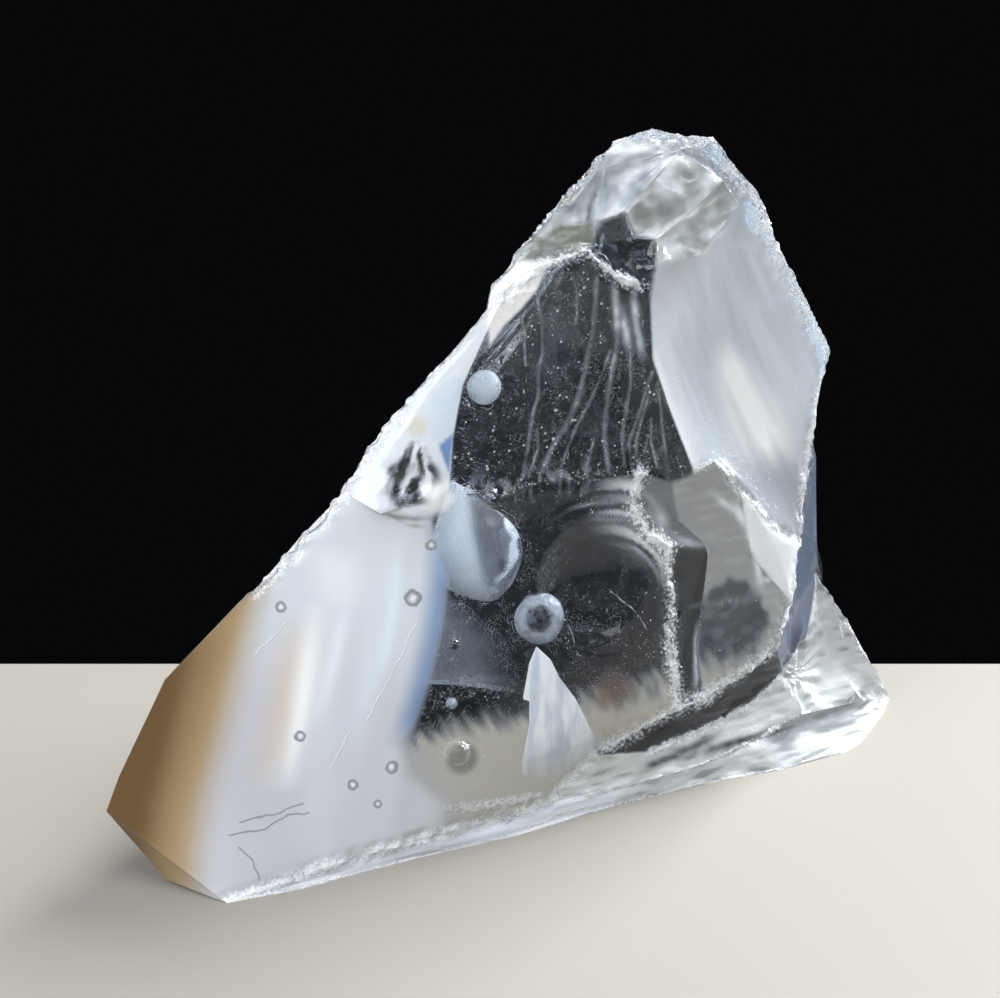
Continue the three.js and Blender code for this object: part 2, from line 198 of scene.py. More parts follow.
def noise(points, size, seed):
    """Smooth noise from 0 to 1: random values at the points of a cubic lattice of the given
    size, blended between its eight nearest points by the smoothstep of the place in the cell."""
    table = np.random.default_rng(seed).random((32, 32, 32))
    place = points / size
    cell = np.floor(place).astype(int)
    share = place - cell
    share = share * share * (3 - 2 * share)
    total = np.zeros(len(points))
    for corner in np.ndindex(2, 2, 2):
        weight = np.prod(np.where(corner, share, 1 - share), axis=1)
        x, y, z = ((cell + corner) % 32).T
        total += weight * table[x, y, z]
    return total


def stretched(points, way, share):
    """The points with that share of their reach along the way taken out, so that a noise read
    at them runs in long threads along it."""
    return points - np.outer(points @ way, way) * share


def stitch(outer, inner):
    """Triangles between two closed rings of any counts, each laid evenly round the loop: every
    step of one ring joins the point of the other ring that is level with the step's end."""
    level_outer = np.arange(1, len(outer) + 1) / len(outer)
    level_inner = np.arange(1, len(inner) + 1) / len(inner)
    apex_inner = np.searchsorted(level_inner, level_outer - 1e-9) % len(inner)
    apex_outer = np.searchsorted(level_outer, level_inner + 1e-9) % len(outer)
    outward = np.stack([inner[apex_inner], np.roll(outer, -1), outer], axis=1)
    inward = np.stack([inner, np.roll(inner, -1), outer[apex_outer]], axis=1)
    return np.concatenate([outward, inward])


class Skin:
    """The closed skin as it grows: its points, their face numbers, and its triangles."""

    def __init__(self):
        self.points = []
        self.face_of = []
        self.count = 0
        self.triangles = []
        self.corner_index = {}
        self.edge_index = {}

    def add(self, points, face):
        """Adds points with their face's number, -1 on an edge, and returns their indices."""
        first = self.count
        self.points.append(points)
        self.face_of.append(np.full(len(points), face))
        self.count += len(points)
        return np.arange(first, self.count)

    def corner(self, name):
        """The index of a named corner, which is added the first time it is asked for."""
        if name not in self.corner_index:
            self.corner_index[name] = self.add(np.array([CORNERS[name]], float), -1)[0]
        return self.corner_index[name]

    def edge(self, start, end):
        """Indices from one corner up to, but not including, the next, laid at even steps."""
        first, last = sorted((start, end))
        if (first, last) not in self.edge_index:
            a, b = np.array(CORNERS[first], float), np.array(CORNERS[last], float)
            count = max(1, math.ceil(np.linalg.norm(b - a) / FRONT_STEP))
            share = np.arange(1, count)[:, None] / count
            inner = self.add(a + share * (b - a), -1)
            self.edge_index[first, last] = [self.corner(first), *inner, self.corner(last)]
        run = self.edge_index[first, last]
        return run[:-1] if start == first else run[:0:-1]


def add_face(skin, name, loop, dish, ribs=0, middle=None):
    """One fracture face on a grid of (place round the loop, share of the way out). A point
    stands off the face's plane by the edge's own height times the share cubed, less the dish
    times (1 - share squared), plus the ribs, a cosine of its distance from the loop's first
    corner, times (1 - share to the fourth)."""
    step = BACK_STEP if name in BACK_FACES else WINDOW_STEP if name == "window" else FRONT_STEP
    number = FACE_NUMBER[name]
    names = corner_names(loop)
    ring = []
    for start, end in zip(names, names[1:] + names[:1]):
        ring.extend(skin.edge(start, end))
    ring = np.array(ring)
    outline = np.concatenate(skin.points)[ring]
    centre = np.array(CORNERS[middle]) if middle else np.mean([CORNERS[n] for n in names], 0)
    normal = np.cross(np.roll(outline, -1, 0) - centre, outline - centre).sum(0)
    normal /= np.linalg.norm(normal)
    closed = np.vstack([outline, outline[:1]])
    length = np.linalg.norm(closed[1:] - closed[:-1], axis=1).sum()
    reach = np.linalg.norm(outline - centre, axis=1).mean()
    ring_count = max(2, math.ceil(reach / step))
    last = ring
    for share in np.arange(ring_count - 1, 0, -1) / ring_count:
        count = max(6, round(share * length / step))
        place = np.arange(count) / count * len(ring)
        around = np.stack([np.interp(place, np.arange(len(closed)), closed[:, i])
                           for i in range(3)], axis=1)
        height = (around - centre) @ normal
        points = centre + share * (around - centre)
        wave = np.cos(2 * np.pi * np.linalg.norm(points - outline[0], axis=1) / RIB_SPACING)
        lift = height * (share ** EVENING - share) - dish * (1 - share ** 2)
        lift = lift + ribs * wave * (1 - share ** 4)
        inner = skin.add(points + lift[:, None] * normal, number)
        skin.triangles.append(stitch(last, inner))
        last = inner
    top = skin.add((centre - (dish - ribs) * normal)[None], number)[0]
    skin.triangles.append(
        np.stack([np.full(len(last), top), np.roll(last, -1), last], axis=1))


def vertex_normals(points, triangles):
    """Unit normals: each triangle's own area normal, summed over the corners that share it."""
    a, b, c = (points[triangles[:, i]] for i in range(3))
    area = np.cross(b - a, c - a)
    normals = np.zeros_like(points)
    for i in range(3):
        np.add.at(normals, triangles[:, i], area)
    return normals / np.maximum(np.linalg.norm(normals, axis=1), 1e-12)[:, None]


def relax(points, triangles, free, rounds):
    """Each free point moves to the mean of its neighbours, that many times over."""
    edges = np.concatenate([triangles[:, [0, 1]], triangles[:, [1, 2]], triangles[:, [2, 0]]])
    start, end = edges[free[edges].any(axis=1)].T
    count = np.bincount(start, minlength=len(points)) + np.bincount(end, minlength=len(points))
    points = points.copy()
    for _ in range(rounds):
        total = [np.bincount(start, points[end, i], len(points))
                 + np.bincount(end, points[start, i], len(points)) for i in range(3)]
        points[free] = (np.stack(total, axis=1) / np.maximum(count, 1)[:, None])[free]
    return points


def carve(points, middle, radii, way):
    """A point inside the ellipsoid moves along the way until it meets the ellipsoid's wall:
    the larger root of |(point + t * way - middle) / radii| = 1."""
    p = (points - middle) / radii
    d = np.array(way) / radii
    a, b, c = d @ d, p @ d, (p * p).sum(1) - 1
    t = np.where(c < 0, (-b + np.sqrt(np.maximum(b * b - a * c, 0))) / a, 0)
    return points + t[:, None] * np.array(way)


def on_faces(face_of, names):
    """Which points lie inside the named faces, not on their edges."""
    return np.isin(face_of, [FACE_NUMBER[name] for name in names.split()])


def plain_skin():
    """The closed skin with its hollows, before anything is chipped: its points, triangles and
    each point's face number."""
    skin = Skin()
    for name, face in FACES.items():
        add_face(skin, name, *face)
    points = np.concatenate(skin.points)
    triangles = np.concatenate(skin.triangles)
    face_of = np.concatenate(skin.face_of)
    points = relax(points, triangles, on_faces(face_of, BROAD_FACES), RELAX_ROUNDS)
    for hollow in HOLLOWS:
        front = points[:, 1] < 8
        points[front] = carve(points[front], *hollow)
    return points, triangles, face_of


# Edges crushed to white grains: the corners along them, the grains' reach and their strength
CRUSHED_EDGES = [
    ("foot rim:abcde", 0.5, 1),
    ("rim_e ridge:abcdef", 0.95, 1),
    ("ridge:fgh right_g", 0.55, 1),
    ("crown:bcd right:abcde", 1.15, 0.95),
    ("right:efg", 0.5, 1),
    ("left_mid left_bend edge:ab", 0.75, 1),
    ("edge:bcd glint_top edge_e", 0.4, 0.8),
    ("edge:efgh crown:ab", 0.3, 0.7),
    ("ledge:abcde", 0.6, 1),
    ("step_top step:abcde ridge_b", 0.85, 1),
    ("flat:cde ridge_c", 0.1, 0.5),
    ("cleft:abcd ridge_g", 0.3, 0.8),
    ("cleft_c lip ridge_f", 0.2, 0.5),
    ("under:bcdef", 0.3, 1),
    ("rim_d low:bcde", 0.22, 0.8),
    ("foot floor:ihgfed", 0.22, 0.9),
    ("crook wedge:ab wedge_tip floor:ab", 0.25, 0.9),
    ("wedge_b wedge_tip", 1.3, 0.9),
    ("glint_top edge_e", 0.9, 0.8),
    ("fringe:abcd", 0.35, 0.5),
]

# Two bright bands in the clear window, both drawn and grooved
WINDOW_BANDS = [
    [(7, 2, 36.2), (7.4, 1.8, 33.9), (7.6, 1.7, 33.1)],
    [(7.8, 2.2, 37.3), (8, 2.1, 35.1), (8.5, 1.7, 32.6)],
]
# Lines drawn in the glass, mostly painted light and shade along its creases and edges, with the two
# window bands: path, half width, colour, how cloudy
DRAWN_LINES = [
    ([(4.1, 3.7, 44.1), (5.4, 4.5, 45.1), (7, 5.2, 45.3), (8.7, 5.8, 45.4), (10.7, 6.9, 46.1),
      (12, 7.7, 46.3)], 0.3, "#7F858A", 0.9),
    ([(5.8, 4.7, 45.6), (7.2, 5.5, 46.3), (8.2, 6.1, 46.7), (9.7, 6.7, 46.6)], 0.45, "#F6FAFC", 0.9),
    ([(6.3, 4.8, 44.9), (8.2, 5.6, 45.2), (10, 6.3, 45.6), (11.7, 7.1, 45.7)], 0.45, "#F0F5FA", 0.9),
    ([(9.4, 5, 44.2), (8.2, 4.2, 43.5), (7.2, 3.7, 43)], 0.16, "#E8EDF0", 0.85),
    ([(7.2, 3.7, 43), (7.6, 4, 41.6), (9.1, 4.1, 40.8), (9.8, 4.3, 41.1), (11, 5.2, 41.7),
      (13, 7, 42.1), (14.5, 7.7, 42.8)], 0.2, "#FCFEFF", 0.95),
    ([(9.8, 4.1, 40.4), (13, 6, 38.9), (13.5, 6.5, 39.6), (14.4, 7.2, 40), (15.3, 8.1, 40.8)],
     0.15, "#E6EBEE", 0.85),
    ([(5.6, 4.2, 44.5), (5.3, 3.4, 42.6), (5, 2.7, 41.3)], 0.28, "#DCE8F5", 0.9),
    ([(5.1, 4.1, 44.2), (4.4, 3.3, 42.7), (4.2, 2.6, 41.6)], 0.22, "#EEF4F8", 0.9),
    ([(5.4, 4.3, 44.7), (4.7, 3.7, 43.3), (4.4, 2.7, 41.6)], 0.25, "#5E6468", 0.6),
    ([(15.4, 3, 21), (16.6, 3.1, 18.6), (17.3, 3.1, 16.1), (17.7, 2.8, 13.8)], 0.32, "#F2F8FA", 0.9),
    ([(17.4, 2.8, 14.5), (19.6, 3.9, 14.3)], 0.16, "#F6FAFC", 0.9),
    ([(13.8, 2.3, 21.8), (15.6, 3, 20), (17.5, 3.3, 17.6), (19.3, 4, 15.5)], 0.28, "#EEF3F7", 0.9),
    ([(12.3, 0.1, 13.7), (16.5, 2.1, 13.3)], 0.12, "#C9CED4", 0.6),
    ([(17.9, 2.4, 4.8), (21.1, 4.6, 4.5), (24.5, 7.8, 3.8), (27.1, 9.8, 3)], 0.3, "#F3F7F9", 0.9),
    ([(13.2, -1.3, 2.4), (15.4, 0, 2.3), (17.9, 1.3, 2.4), (20.3, 2.8, 2.5)], 0.35, "#3E424A", 0.6),
    ([(8.7, -3.5, 2.1), (12.5, -1.3, 2.7), (14.8, 0.1, 3.1)], 0.3, "#34373D", 0.5),
    ([(24.2, 6, 2.2), (26.4, 8.4, 2.1), (27.2, 9, 1.1)], 0.45, "#6E7276", 0.5),
    ([(12.9, .2, 12.2), (12.8, -.2, 10.5), (12.8, -.5, 9), (12.9, -1.1, 7)], 0.24, "#E4EAF2", 0.85),
    ([(9.6, .3, 21.6), (10.2, .2, 20.6), (10.1, 0, 19.9)], 0.5, "#F8FBFF", 0.95),
    ([(8.4, -.4, 23.4), (9.2, .1, 22.4), (9.6, .3, 21.6)], 0.25, "#D5DBE2", 0.7),
    ([(10.4, .1, 19.4), (11.6, .5, 18.7), (12.9, 1.1, 18.3)], 0.3, "#D9DEE4", 0.7),
    ([(6.4, 1.9, 38.1), (6.6, 1.9, 36), (6.7, 1.7, 33.9)], 0.25, "#E6EDF3", 0.8),
    (WINDOW_BANDS[0], 0.3, "#E8F0F8", 0.85),
    (WINDOW_BANDS[1], 0.28, "#D5E3FA", 0.85),
    ([(3.3, -2.9, 22.9), (5.1, -2.2, 23), (7.3, -1.3, 22.7), (8.9, -0.6, 21.4)], 0.14, "#D8DEE4", 0.5),
    ([(4.5, -2.7, 22), (7.3, -1.7, 21.5), (9.1, -1.4, 20.1)], 0.2, "#C6CCD2", 0.45),
    ([(-10.9, -6.3, 24.6), (-9.5, -6.8, 24), (-7.5, -6.2, 23.6), (-6.3, -5.9, 23.6)], 0.2,
     "#6F7274", 0.85),
    ([(-9.9, -6.7, 24.6), (-8.1, -6.5, 23.2), (-6.6, -6, 22.9)], 0.14, "#85888A", 0.85),
]

# A grainy line low in the front face, above its rim
CRUSHED_SEAM = [(-6.5, -11.3, 3.4), (-3, -10.2, 2.9), (1.3, -8.2, 2.6)]

# Hackles, the fine step lines that run down the clear window, and their half widths
HACKLES = [
    ([(1, .1, 37.6), (1.3, .1, 36), (1.4, -.1, 33.6), (1.1, -.5, 32.6), (1.1, -.8, 30.8),
      (.7, -1.3, 29.4), (.4, -2, 27.6), (0, -3.3, 25.4)], 0.12),
    ([(1, -1.5, 28.4), (1.1, -1.9, 27.2), (.4, -3.2, 25.4)], 0.1),
    ([(3.6, 1.1, 38.7), (3.8, 1.2, 37.5), (3.8, 1.1, 36), (3.7, 1, 35.4)], 0.09),
    ([(5.2, 1.6, 38.7), (5.1, 1.6, 37), (4.9, 1.3, 34.6), (4.4, .7, 31.9), (3.8, 0, 29.7),
      (2.9, -.9, 28.2), (2, -1.8, 26.9), (1.4, -2.7, 25.7)], 0.2),
    ([(6.2, 1.4, 33.2), (5.6, .9, 31.5), (4.8, .4, 29.8), (3.8, -.5, 28.2), (3.1, -1.5, 26.7),
      (2.6, -2.4, 25.5)], 0.1),
    ([(6.4, 1.9, 38.1), (6.6, 1.9, 36), (6.7, 1.7, 33.9), (6.3, 1.2, 31.7), (6, .7, 29.4),
      (5.8, 0, 27.5), (6.1, -1.2, 25)], 0.2),
    ([(5.1, -.4, 27.3), (4.8, -1, 26.3), (4.5, -1.6, 25.6), (4.6, -2, 24.9)], 0.09),
    ([(7.6, 1.6, 32.9), (7.7, 1.3, 30.8), (7.4, .9, 28.8), (7.1, .5, 27.3),
      (7.3, -.5, 25.2)], 0.12),
    ([(9.2, 1.6, 31.5), (8.7, 1.4, 29.9), (8.2, 1, 28.2), (7.6, .4, 26.5), (7.9, -.3, 25)], 0.12),
    ([(9, 1.4, 29.8), (8.5, 1, 28.1), (8.1, .7, 26.5), (8.3, 0, 25)], 0.1),
    ([(9.6, 1.6, 30.7), (9.9, 1.4, 28.6), (10.1, 1.1, 26.8), (10.5, 1, 23.9)], 0.1),
    ([(9.2, 1.2, 28.1), (9.2, .9, 26.6), (9.7, .8, 24.3)], 0.09),
    ([(9, .9, 26.9), (8.7, .7, 25.7)], 0.09),
    ([(-.1, -.4, 36.2), (.1, -.5, 34.7), (.2, -.8, 33)], 0.09),
    (WINDOW_BANDS[0], 0.25),
    (WINDOW_BANDS[1], 0.25),
]

# The milky body on the left ends along this line, and its amber end, painted for the light that shines
# through the long milk, begins along the next; both are given as heights and the x there
MILK_EDGE = ([3.8, 6, 8.4, 11.9, 15.8, 19.5, 21.4, 25.8],
             [-4.8, -6.8, -8, -6.7, -5.7, -5.2, -5.2, -4.9])
AMBER_EDGE = ([2.8, 5.6, 9, 11.8, 14.6, 17.4, 19.1],
              [-23.3, -22.8, -21.7, -20.9, -20.1, -19.3, -18.5])
AMBER_STREAK = [(-15.4, -8.7, 17.4), (-16.2, -10.8, 12.4), (-16.8, -12.2, 9.3), (-18.1, -13.6, 6.5)]
# Bright streaks in the milk: path, half width, strength, colour
BLUE_STREAKS = [
    ([(-14.3, -8.4, 18.6), (-15, -9.9, 14.3), (-15.6, -11.4, 10.7), (-16.9, -13.7, 5.9)], 1.9, 0.6,
     "#E6F0FA"),
    ([(-14.4, -8.6, 18.2), (-15, -9.9, 14.3), (-15.6, -11.4, 10.7), (-16.8, -13.5, 6)], 0.75, 1,
     "#FBFEFF"),
    ([(-12.2, -8.2, 18.6), (-13.1, -9.4, 14.6), (-14.5, -11.3, 9.8)], 0.5, 0.8, "#EFF7FF"),
    ([(-8.4, -6.4, 22.8), (-8.9, -6.9, 19.8), (-9.2, -8, 17), (-9.8, -9.2, 14.1),
      (-11.3, -10.7, 10.5)], 0.45, 1, "#EAF6FF"),
    ([(-8.8, -7, 20.5), (-9.6, -8.6, 15.5), (-11.3, -10.7, 10.5), (-13.1, -12, 7.8)], 1.5, 0.7,
     "#E2EEFA"),
    ([(-13.9, -6.9, 22), (-13, -7.3, 20), (-12.6, -8.2, 17.5)], 1.5, 0.75, "#F0F6FB"),
]
# The bright streak in the scoop, and the way that the scoop's threads run
SCOOP_STREAK = [(14.4, 6.7, 32.2), (15.6, 6.8, 29), (17.1, 6.7, 25.5), (18.7, 6.5, 21.6)]
SCOOP_FLOW = np.array([0.42, -0.02, -0.91])

# The way that the milky layers run
FLOW = np.array([-0.16, -0.39, -0.907])

# The way that the long lines run in the wedge and the low shelves
LAYER_LINES = np.array([0.79, 0.6, -0.1])

# Patches at the left edge: a painted glint, where a flat break shines white with the light, a milky
# blob, a blue corner, a cream spot, a painted highlight at the drop's white neck, and a spot of rust
# low in the front
PAINTED_GLINT = [(-2.6, -1.2, 38), (-.6, .4, 40.2), (1.2, .6, 40.4), (1.9, .5, 40.2), (1, .2, 38.2),
                (-.2, -.4, 36.9), (-1.3, -1, 36), (-2.4, -1.6, 34.6)]
MILKY_BLOB = [(-5.4, -2.8, 32.7), (-4.2, -2.6, 33.1), (-4.2, -3, 31.8), (-4.8, -4.1, 29.3),
              (-6, -4.7, 28.7), (-6.5, -4.4, 29.3), (-6.6, -3.4, 31.2)]
BLUE_CORNER = [(-5.9, -4.7, 28.5), (-4.8, -4.1, 29.3), (-5.1, -5.2, 26.4)]
CREAM_SPOT = (-7.4, -4.1, 29.7)
NECK_HIGHLIGHT = (-5.9, -5.7, 25)
RUST_SPOT = (6.6, -5.2, 9.6)

# The opaque white fleck in the front face, clockwise from its upper tip
FLECK = [(1, -6.5, 13.8), (2, -6.4, 12.7), (2.7, -6.6, 11.3), (3.8, -6.4, 9.6), (4.9, -5.9, 6.9),
         (5.9, -5.1, 4.8), (4.3, -6, 4), (2.9, -7.1, 3.5), (0, -8.6, 4.6), (0, -8.5, 5.6),
         (.5, -7.9, 8.3), (.5, -7.6, 10), (0, -7.7, 10.2), (.5, -7, 12.7)]

# Round gas bubbles in the glass: middle, radius, and how frosted the wall is
BUBBLES = [
    ((-3, -0.5, 31.3), 1.27, 0.8),
    ((-4.8, -8.4, 6.3), 1.1, 0),
    ((-5.1, -8.4, 10.3), 0.43, 0.5), ((-4.9, -7, 14.3), 0.4, 0),
    ((-2.2, -3.8, 24.5), 0.42, 0),
]
# Small bubbles just under the milky skin, painted as a ring of shade round a painted bright highlight
# in the middle
SHALLOW_BUBBLES = [
    ((-16.9, -8.5, 17.9), 0.36), ((-15.6, -11.9, 9.5), 0.36), ((-11.9, -12.6, 6), 0.36),
    ((-10.2, -12.6, 4.5), 0.28), ((-9.2, -11.5, 6.8), 0.42), ((-7.7, -7.3, 18), 0.55),
    ((-6.4, -6.2, 21.6), 0.36),
]
# The large bubble, whose bright ring is a painted reflection on its wall: middle and radius
RING_BUBBLE = ((1, -3.5, 14.6), 1.87)
# The tear-shaped bubble's outline, where no cloud lies over it
DROP_OUTLINE = [(-5.1, -5, 26.2), (-2.5, -3.8, 25.3), (.2, -3.6, 22.5), (.5, -4, 20.2),
                (-.6, -4.7, 17.9), (-2.9, -5.6, 16.9), (-4.4, -6.1, 17.6), (-5.4, -6.2, 19.2),
                (-6.1, -6.2, 21.4), (-6.4, -6, 23.5)]
# The tear-shaped bubble's narrow top, its round end, and how its radius is scaled
DROP_TOP = (-5.4, -2.9, 25.2)
DROP_END = (-2.3, -2.1, 15.5)
DROP_RADIUS = 3.3
# Painted reflections of light in its clear half: path, half width, how cloudy
DROP_PAINTED_REFLECTIONS = [
    ([(-1.2, -2.2, 21), (-1, -2.7, 19.8), (-1.2, -3, 19)], 0.75, 0.98),
    ([(-4.8, -1.3, 23.1), (-2.7, -1.5, 22.7), (-1.3, -2, 21.8)], 0.5, 0.9),
    ([(-3.4, -3.6, 17.6), (-2.3, -3.9, 17.2), (-1.9, -3.7, 17.7)], 0.35, 0.7),
]

# Scratches and cracks a hair wide in the front face
WHITE_HAIRLINES = [
    [(-7.4, -7.8, 16.5), (-8.4, -8.8, 14.4), (-9.9, -10, 11.9), (-10.9, -10.7, 10.2)],
    [(-12.1, -11.3, 9.4), (-13.5, -12.5, 7.2)],
    [(-16.4, -8.9, 16.9), (-18.6, -9.9, 14.9)],
    [(6.4, -2.5, 16.2), (7.9, -3, 15.1), (9.1, -2.9, 13.3)],
    [(3.2, -4.7, 14.6), (4.1, -5.6, 12.6)],
]
DARK_HAIRLINES = [
    [(-20.4, -15.5, 3.7), (-17.9, -15, 3.9), (-16.6, -14.4, 4.5), (-14.9, -14.1, 4.6)],
    [(-19.7, -14.9, 4.4), (-17.4, -14.4, 4.7), (-15.4, -13.8, 5.2)],
    [(-19.8, -15.9, 2.9), (-18.8, -16.3, 2.2), (-18.3, -17.1, 0.9)],
]

# Ripples run in arcs round the first place, in the clear front. The pit lies under the cream
# spot, fins fan out from the hole, and the veiled bubble shows through the beige veil, a painted view
# of lit putty seen through the glass.
ARC_CENTRE = (5.6, -2.9, 15.7)
PIT = HOLLOWS[0][0]
HOLE = HOLLOWS[2][0]
VEILED_BUBBLE = BUBBLES[1][0]

# The size of a crushed grain and of a curl of dust, and how far apart the specks of dust lie
GRAIN_SIZE = 0.26
CURL_SIZE = 0.24
SPECK_SPACING = 0.6
GLASS_INDEX = 1.5

# The dome's linear colour for what lies in the glass, which is brighter than white
LIGHT_INSIDE = (1.75, 1.8, 1.85, 1)

# How deep the chips and the hackles' grooves go, and how high the other breaks stand
CHIP_DEPTH = 0.42
GRAIN_HEIGHT = 0.16
GROOVE_DEPTH = 0.025
RIPPLE_HEIGHT = 0.012
RIPPLE_SPACING = 0.85
LAYER_HEIGHT = 0.16
FIN_HEIGHT = 0.13
FIN_COUNT = 13
PIT_HEIGHT = 0.5
SWELL_HEIGHT = 0.05
# How far the faces beside the underside stay off the table
CLEARANCE = 0.08
# Swells of the faces round the top: height, size and seed of the noise
TOP_SWELLS = [(0.3, 1.6, 8), (0.26, 0.75, 16), (0.1, 0.4, 20)]

# What each face looks like before anything is painted on it: colour, and how cloudy it is
BASE_MILK = 0.028
BASE_COLOUR = "#C4CEDC"
FACE_LOOKS = [
    ("scoop", "#D0D9E2", 0.82), ("cheek flake", "#C4CAC9", 0.66), ("brow", "#B8C0C7", 0.68),
    ("crown", "#BFC8CF", 0.72), ("pale", "#B6C0CA", 0.72), ("stripes", "#BFC9D0", 0.5),
    ("olive", "#A9AD9F", 0.45), ("lip_face", "#EDF4F7", 0.92), ("glint", "#DCE4EA", 0.6),
    ("edge_strip", "#E4ECF4", 0.85), ("wedge", "#DCE2E4", 0.78), ("hem_tip", "#BCC3C8", 0.62),
    ("hem_middle hem_left", "#E4EDF8", 0.9), ("hem_right", "#DADFE1", 0.76),
    ("shelf_left shelf_right", "#D9DCDA", 0.78), ("side", "#8593AE", 0.5),
    ("sparkle", "#C2C8CE", 0.3), ("under", "#A9A8A3", 0.05), ("window", BASE_COLOUR, 0.022),
]


def smooth(value, low, high):
    """Smoothstep of the value between low and high."""
    share = np.clip((value - low) / (high - low), 0, 1)
    return share * share * (3 - 2 * share)


def corner_path(words):
    """The places of the corners that the words stand for, as a path."""
    return [CORNERS[name] for name in corner_names(words)]


def path_distance(points, path):
    """Distance from each point to a path of straight pieces."""
    path = np.array(path, float)
    best = np.full(len(points), np.inf)
    for start, end in zip(path, path[1:]):
        way = end - start
        share = np.clip((points - start) @ way / (way @ way), 0, 1)
        best = np.minimum(best, np.linalg.norm(points - start - share[:, None] * way, axis=1))
    return best


def loop_distance(points, loop):
    """Signed distance in the loop's own plane, positive inside: a point is inside where a level
    line to its right crosses the loop an odd number of times."""
    loop = np.array(loop, float)
    centre = loop.mean(0)
    across, up, _ = np.linalg.svd(loop - centre)[2]
    flat = (points - centre) @ np.stack([across, up], axis=1)
    ring = (loop - centre) @ np.stack([across, up], axis=1)
    best = path_distance(flat, [*ring, ring[0]])
    inside = np.zeros(len(points), bool)
    for start, end in zip(ring, np.roll(ring, -1, 0)):
        way = end - start
        crosses = (start[1] > flat[:, 1]) != (end[1] > flat[:, 1])
        rise = np.where(way[1] == 0, 1, way[1])
        inside ^= crosses & (flat[:, 0] < start[0] + (flat[:, 1] - start[1]) * way[0] / rise)
    return np.where(inside, best, -best)


def crushed(points):
    """How crushed each point is: the greatest, over the crushed edges, of the edge's strength
    times (1.15 - distance / (1.6 * reach)), held between 0 and 1, with a slow noise."""
    grains = np.zeros(len(points))
    for names, reach, strength in CRUSHED_EDGES:
        distance = path_distance(points, corner_path(names))
        grains = np.maximum(grains, strength * np.clip(1.15 - distance / (1.6 * reach), 0, 1))
    return grains * (0.55 + 0.75 * noise(points, 2.4, 17))


def rough_skin(points, triangles, face_of):
    """The skin with its breaks: each point moves along its normal, in by the chips at crushed
    edges and by the hackles' grooves, in and out by the ripples, fins and striations."""
    normals = vertex_normals(points, triangles)
    grains = crushed(points)
    chips = noise(points, 0.55, 1) * 0.5 + noise(points, 1.1, 2) * 0.5
    push = -CHIP_DEPTH * grains * smooth(chips, 0.25, 0.8)
    push += GRAIN_HEIGHT * (noise(points, 0.32, 3) - 0.5) * grains
    hackle = np.zeros(len(points))
    window = on_faces(face_of, "window")
    for path, half_width in HACKLES:
        wobble = 0.12 * (noise(points, 0.8, 4) - 0.5)
        distance = np.abs(path_distance(points, path) + wobble)
        hackle = np.maximum(hackle, np.exp(-(distance / half_width) ** 2) * window)
    push -= GROOVE_DEPTH * hackle
    rippled = on_faces(face_of, "milk_face wall flat")
    radius = np.linalg.norm(points - ARC_CENTRE, axis=1)
    ripple = rippled * smooth(points[:, 0], -4, 0) * smooth(-radius, -9.5, -7)
    waves = np.cos(2 * np.pi * radius / RIPPLE_SPACING)
    push += RIPPLE_HEIGHT * ripple * waves * noise(points, 2.5, 5)
    low = on_faces(face_of, "hem_left hem_middle hem_right hem_tip shelf_left shelf_right "
                            "wedge shadow_left shadow_right")
    layers = noise(stretched(points, LAYER_LINES, 0.93), 0.5, 6)
    push += LAYER_HEIGHT * low * (1 - grains) * (layers - 0.5)
    reach = np.linalg.norm(points - HOLE, axis=1)
    turn = np.arctan2(points[:, 2] - HOLE[2], points[:, 0] - HOLE[0])
    fins = on_faces(face_of, "wedge side") * smooth(-reach, -5.5, -3) * smooth(reach, 0.8, 1.6)
    push += FIN_HEIGHT * fins * np.sin(turn * FIN_COUNT + 3 * noise(points, 1.5, 7))
    top = on_faces(face_of, "crown brow flake cheek pale stripes olive beak glint")
    for height, size, seed in TOP_SWELLS:
        push += height * top * (noise(points, size, seed) - 0.5)
    pit = np.linalg.norm(points - PIT, axis=1)
    push += PIT_HEIGHT * smooth(-pit, -3, -2) * (noise(points, 0.7, 10) - 0.5)
    push += SWELL_HEIGHT * (noise(points, 3.5, 9) - 0.5)
    # what lies on the table stays there, and near it the skin moves less, so that no flap of
    # skin is pressed flat on the table
    height = points[:, 2]
    upper_face = (face_of >= 0) & ~on_faces(face_of, "under")
    push *= 0.2 + 0.8 * smooth(height, 0, 0.9)
    push *= (np.abs(height) > 1e-6) | upper_face
    moved = points + push[:, None] * normals
    moved[:, 2] = np.maximum(moved[:, 2], CLEARANCE * upper_face)
    return moved, grains, hackle


def linear(hex_colour):
    """An sRGB hex colour as linear red, green, blue and alpha."""
    parts = [int(hex_colour[i:i + 2], 16) / 255 for i in (1, 3, 5)]
    return [c / 12.92 if c <= 0.04045 else ((c + 0.055) / 1.055) ** 2.4 for c in parts] + [1]


def streak_strength(points, path, half_width):
    """A bell across the path, exp(-(distance / half width)^2), that swells from nothing at one
    end of the path's heights to full in the middle and back: sine(pi * share)^0.7."""
    heights = [place[2] for place in path]
    share = np.clip((points[:, 2] - min(heights)) / (max(heights) - min(heights)), 0, 1)
    bell = np.exp(-(path_distance(points, path) / half_width) ** 2)
    return bell * np.sin(np.pi * share) ** 0.7


def near(points, spot, inner, outer):
    """1 within the inner distance of the spot, falling smoothly to 0 at the outer."""
    return 1 - smooth(np.linalg.norm(points - spot, axis=1), inner, outer)


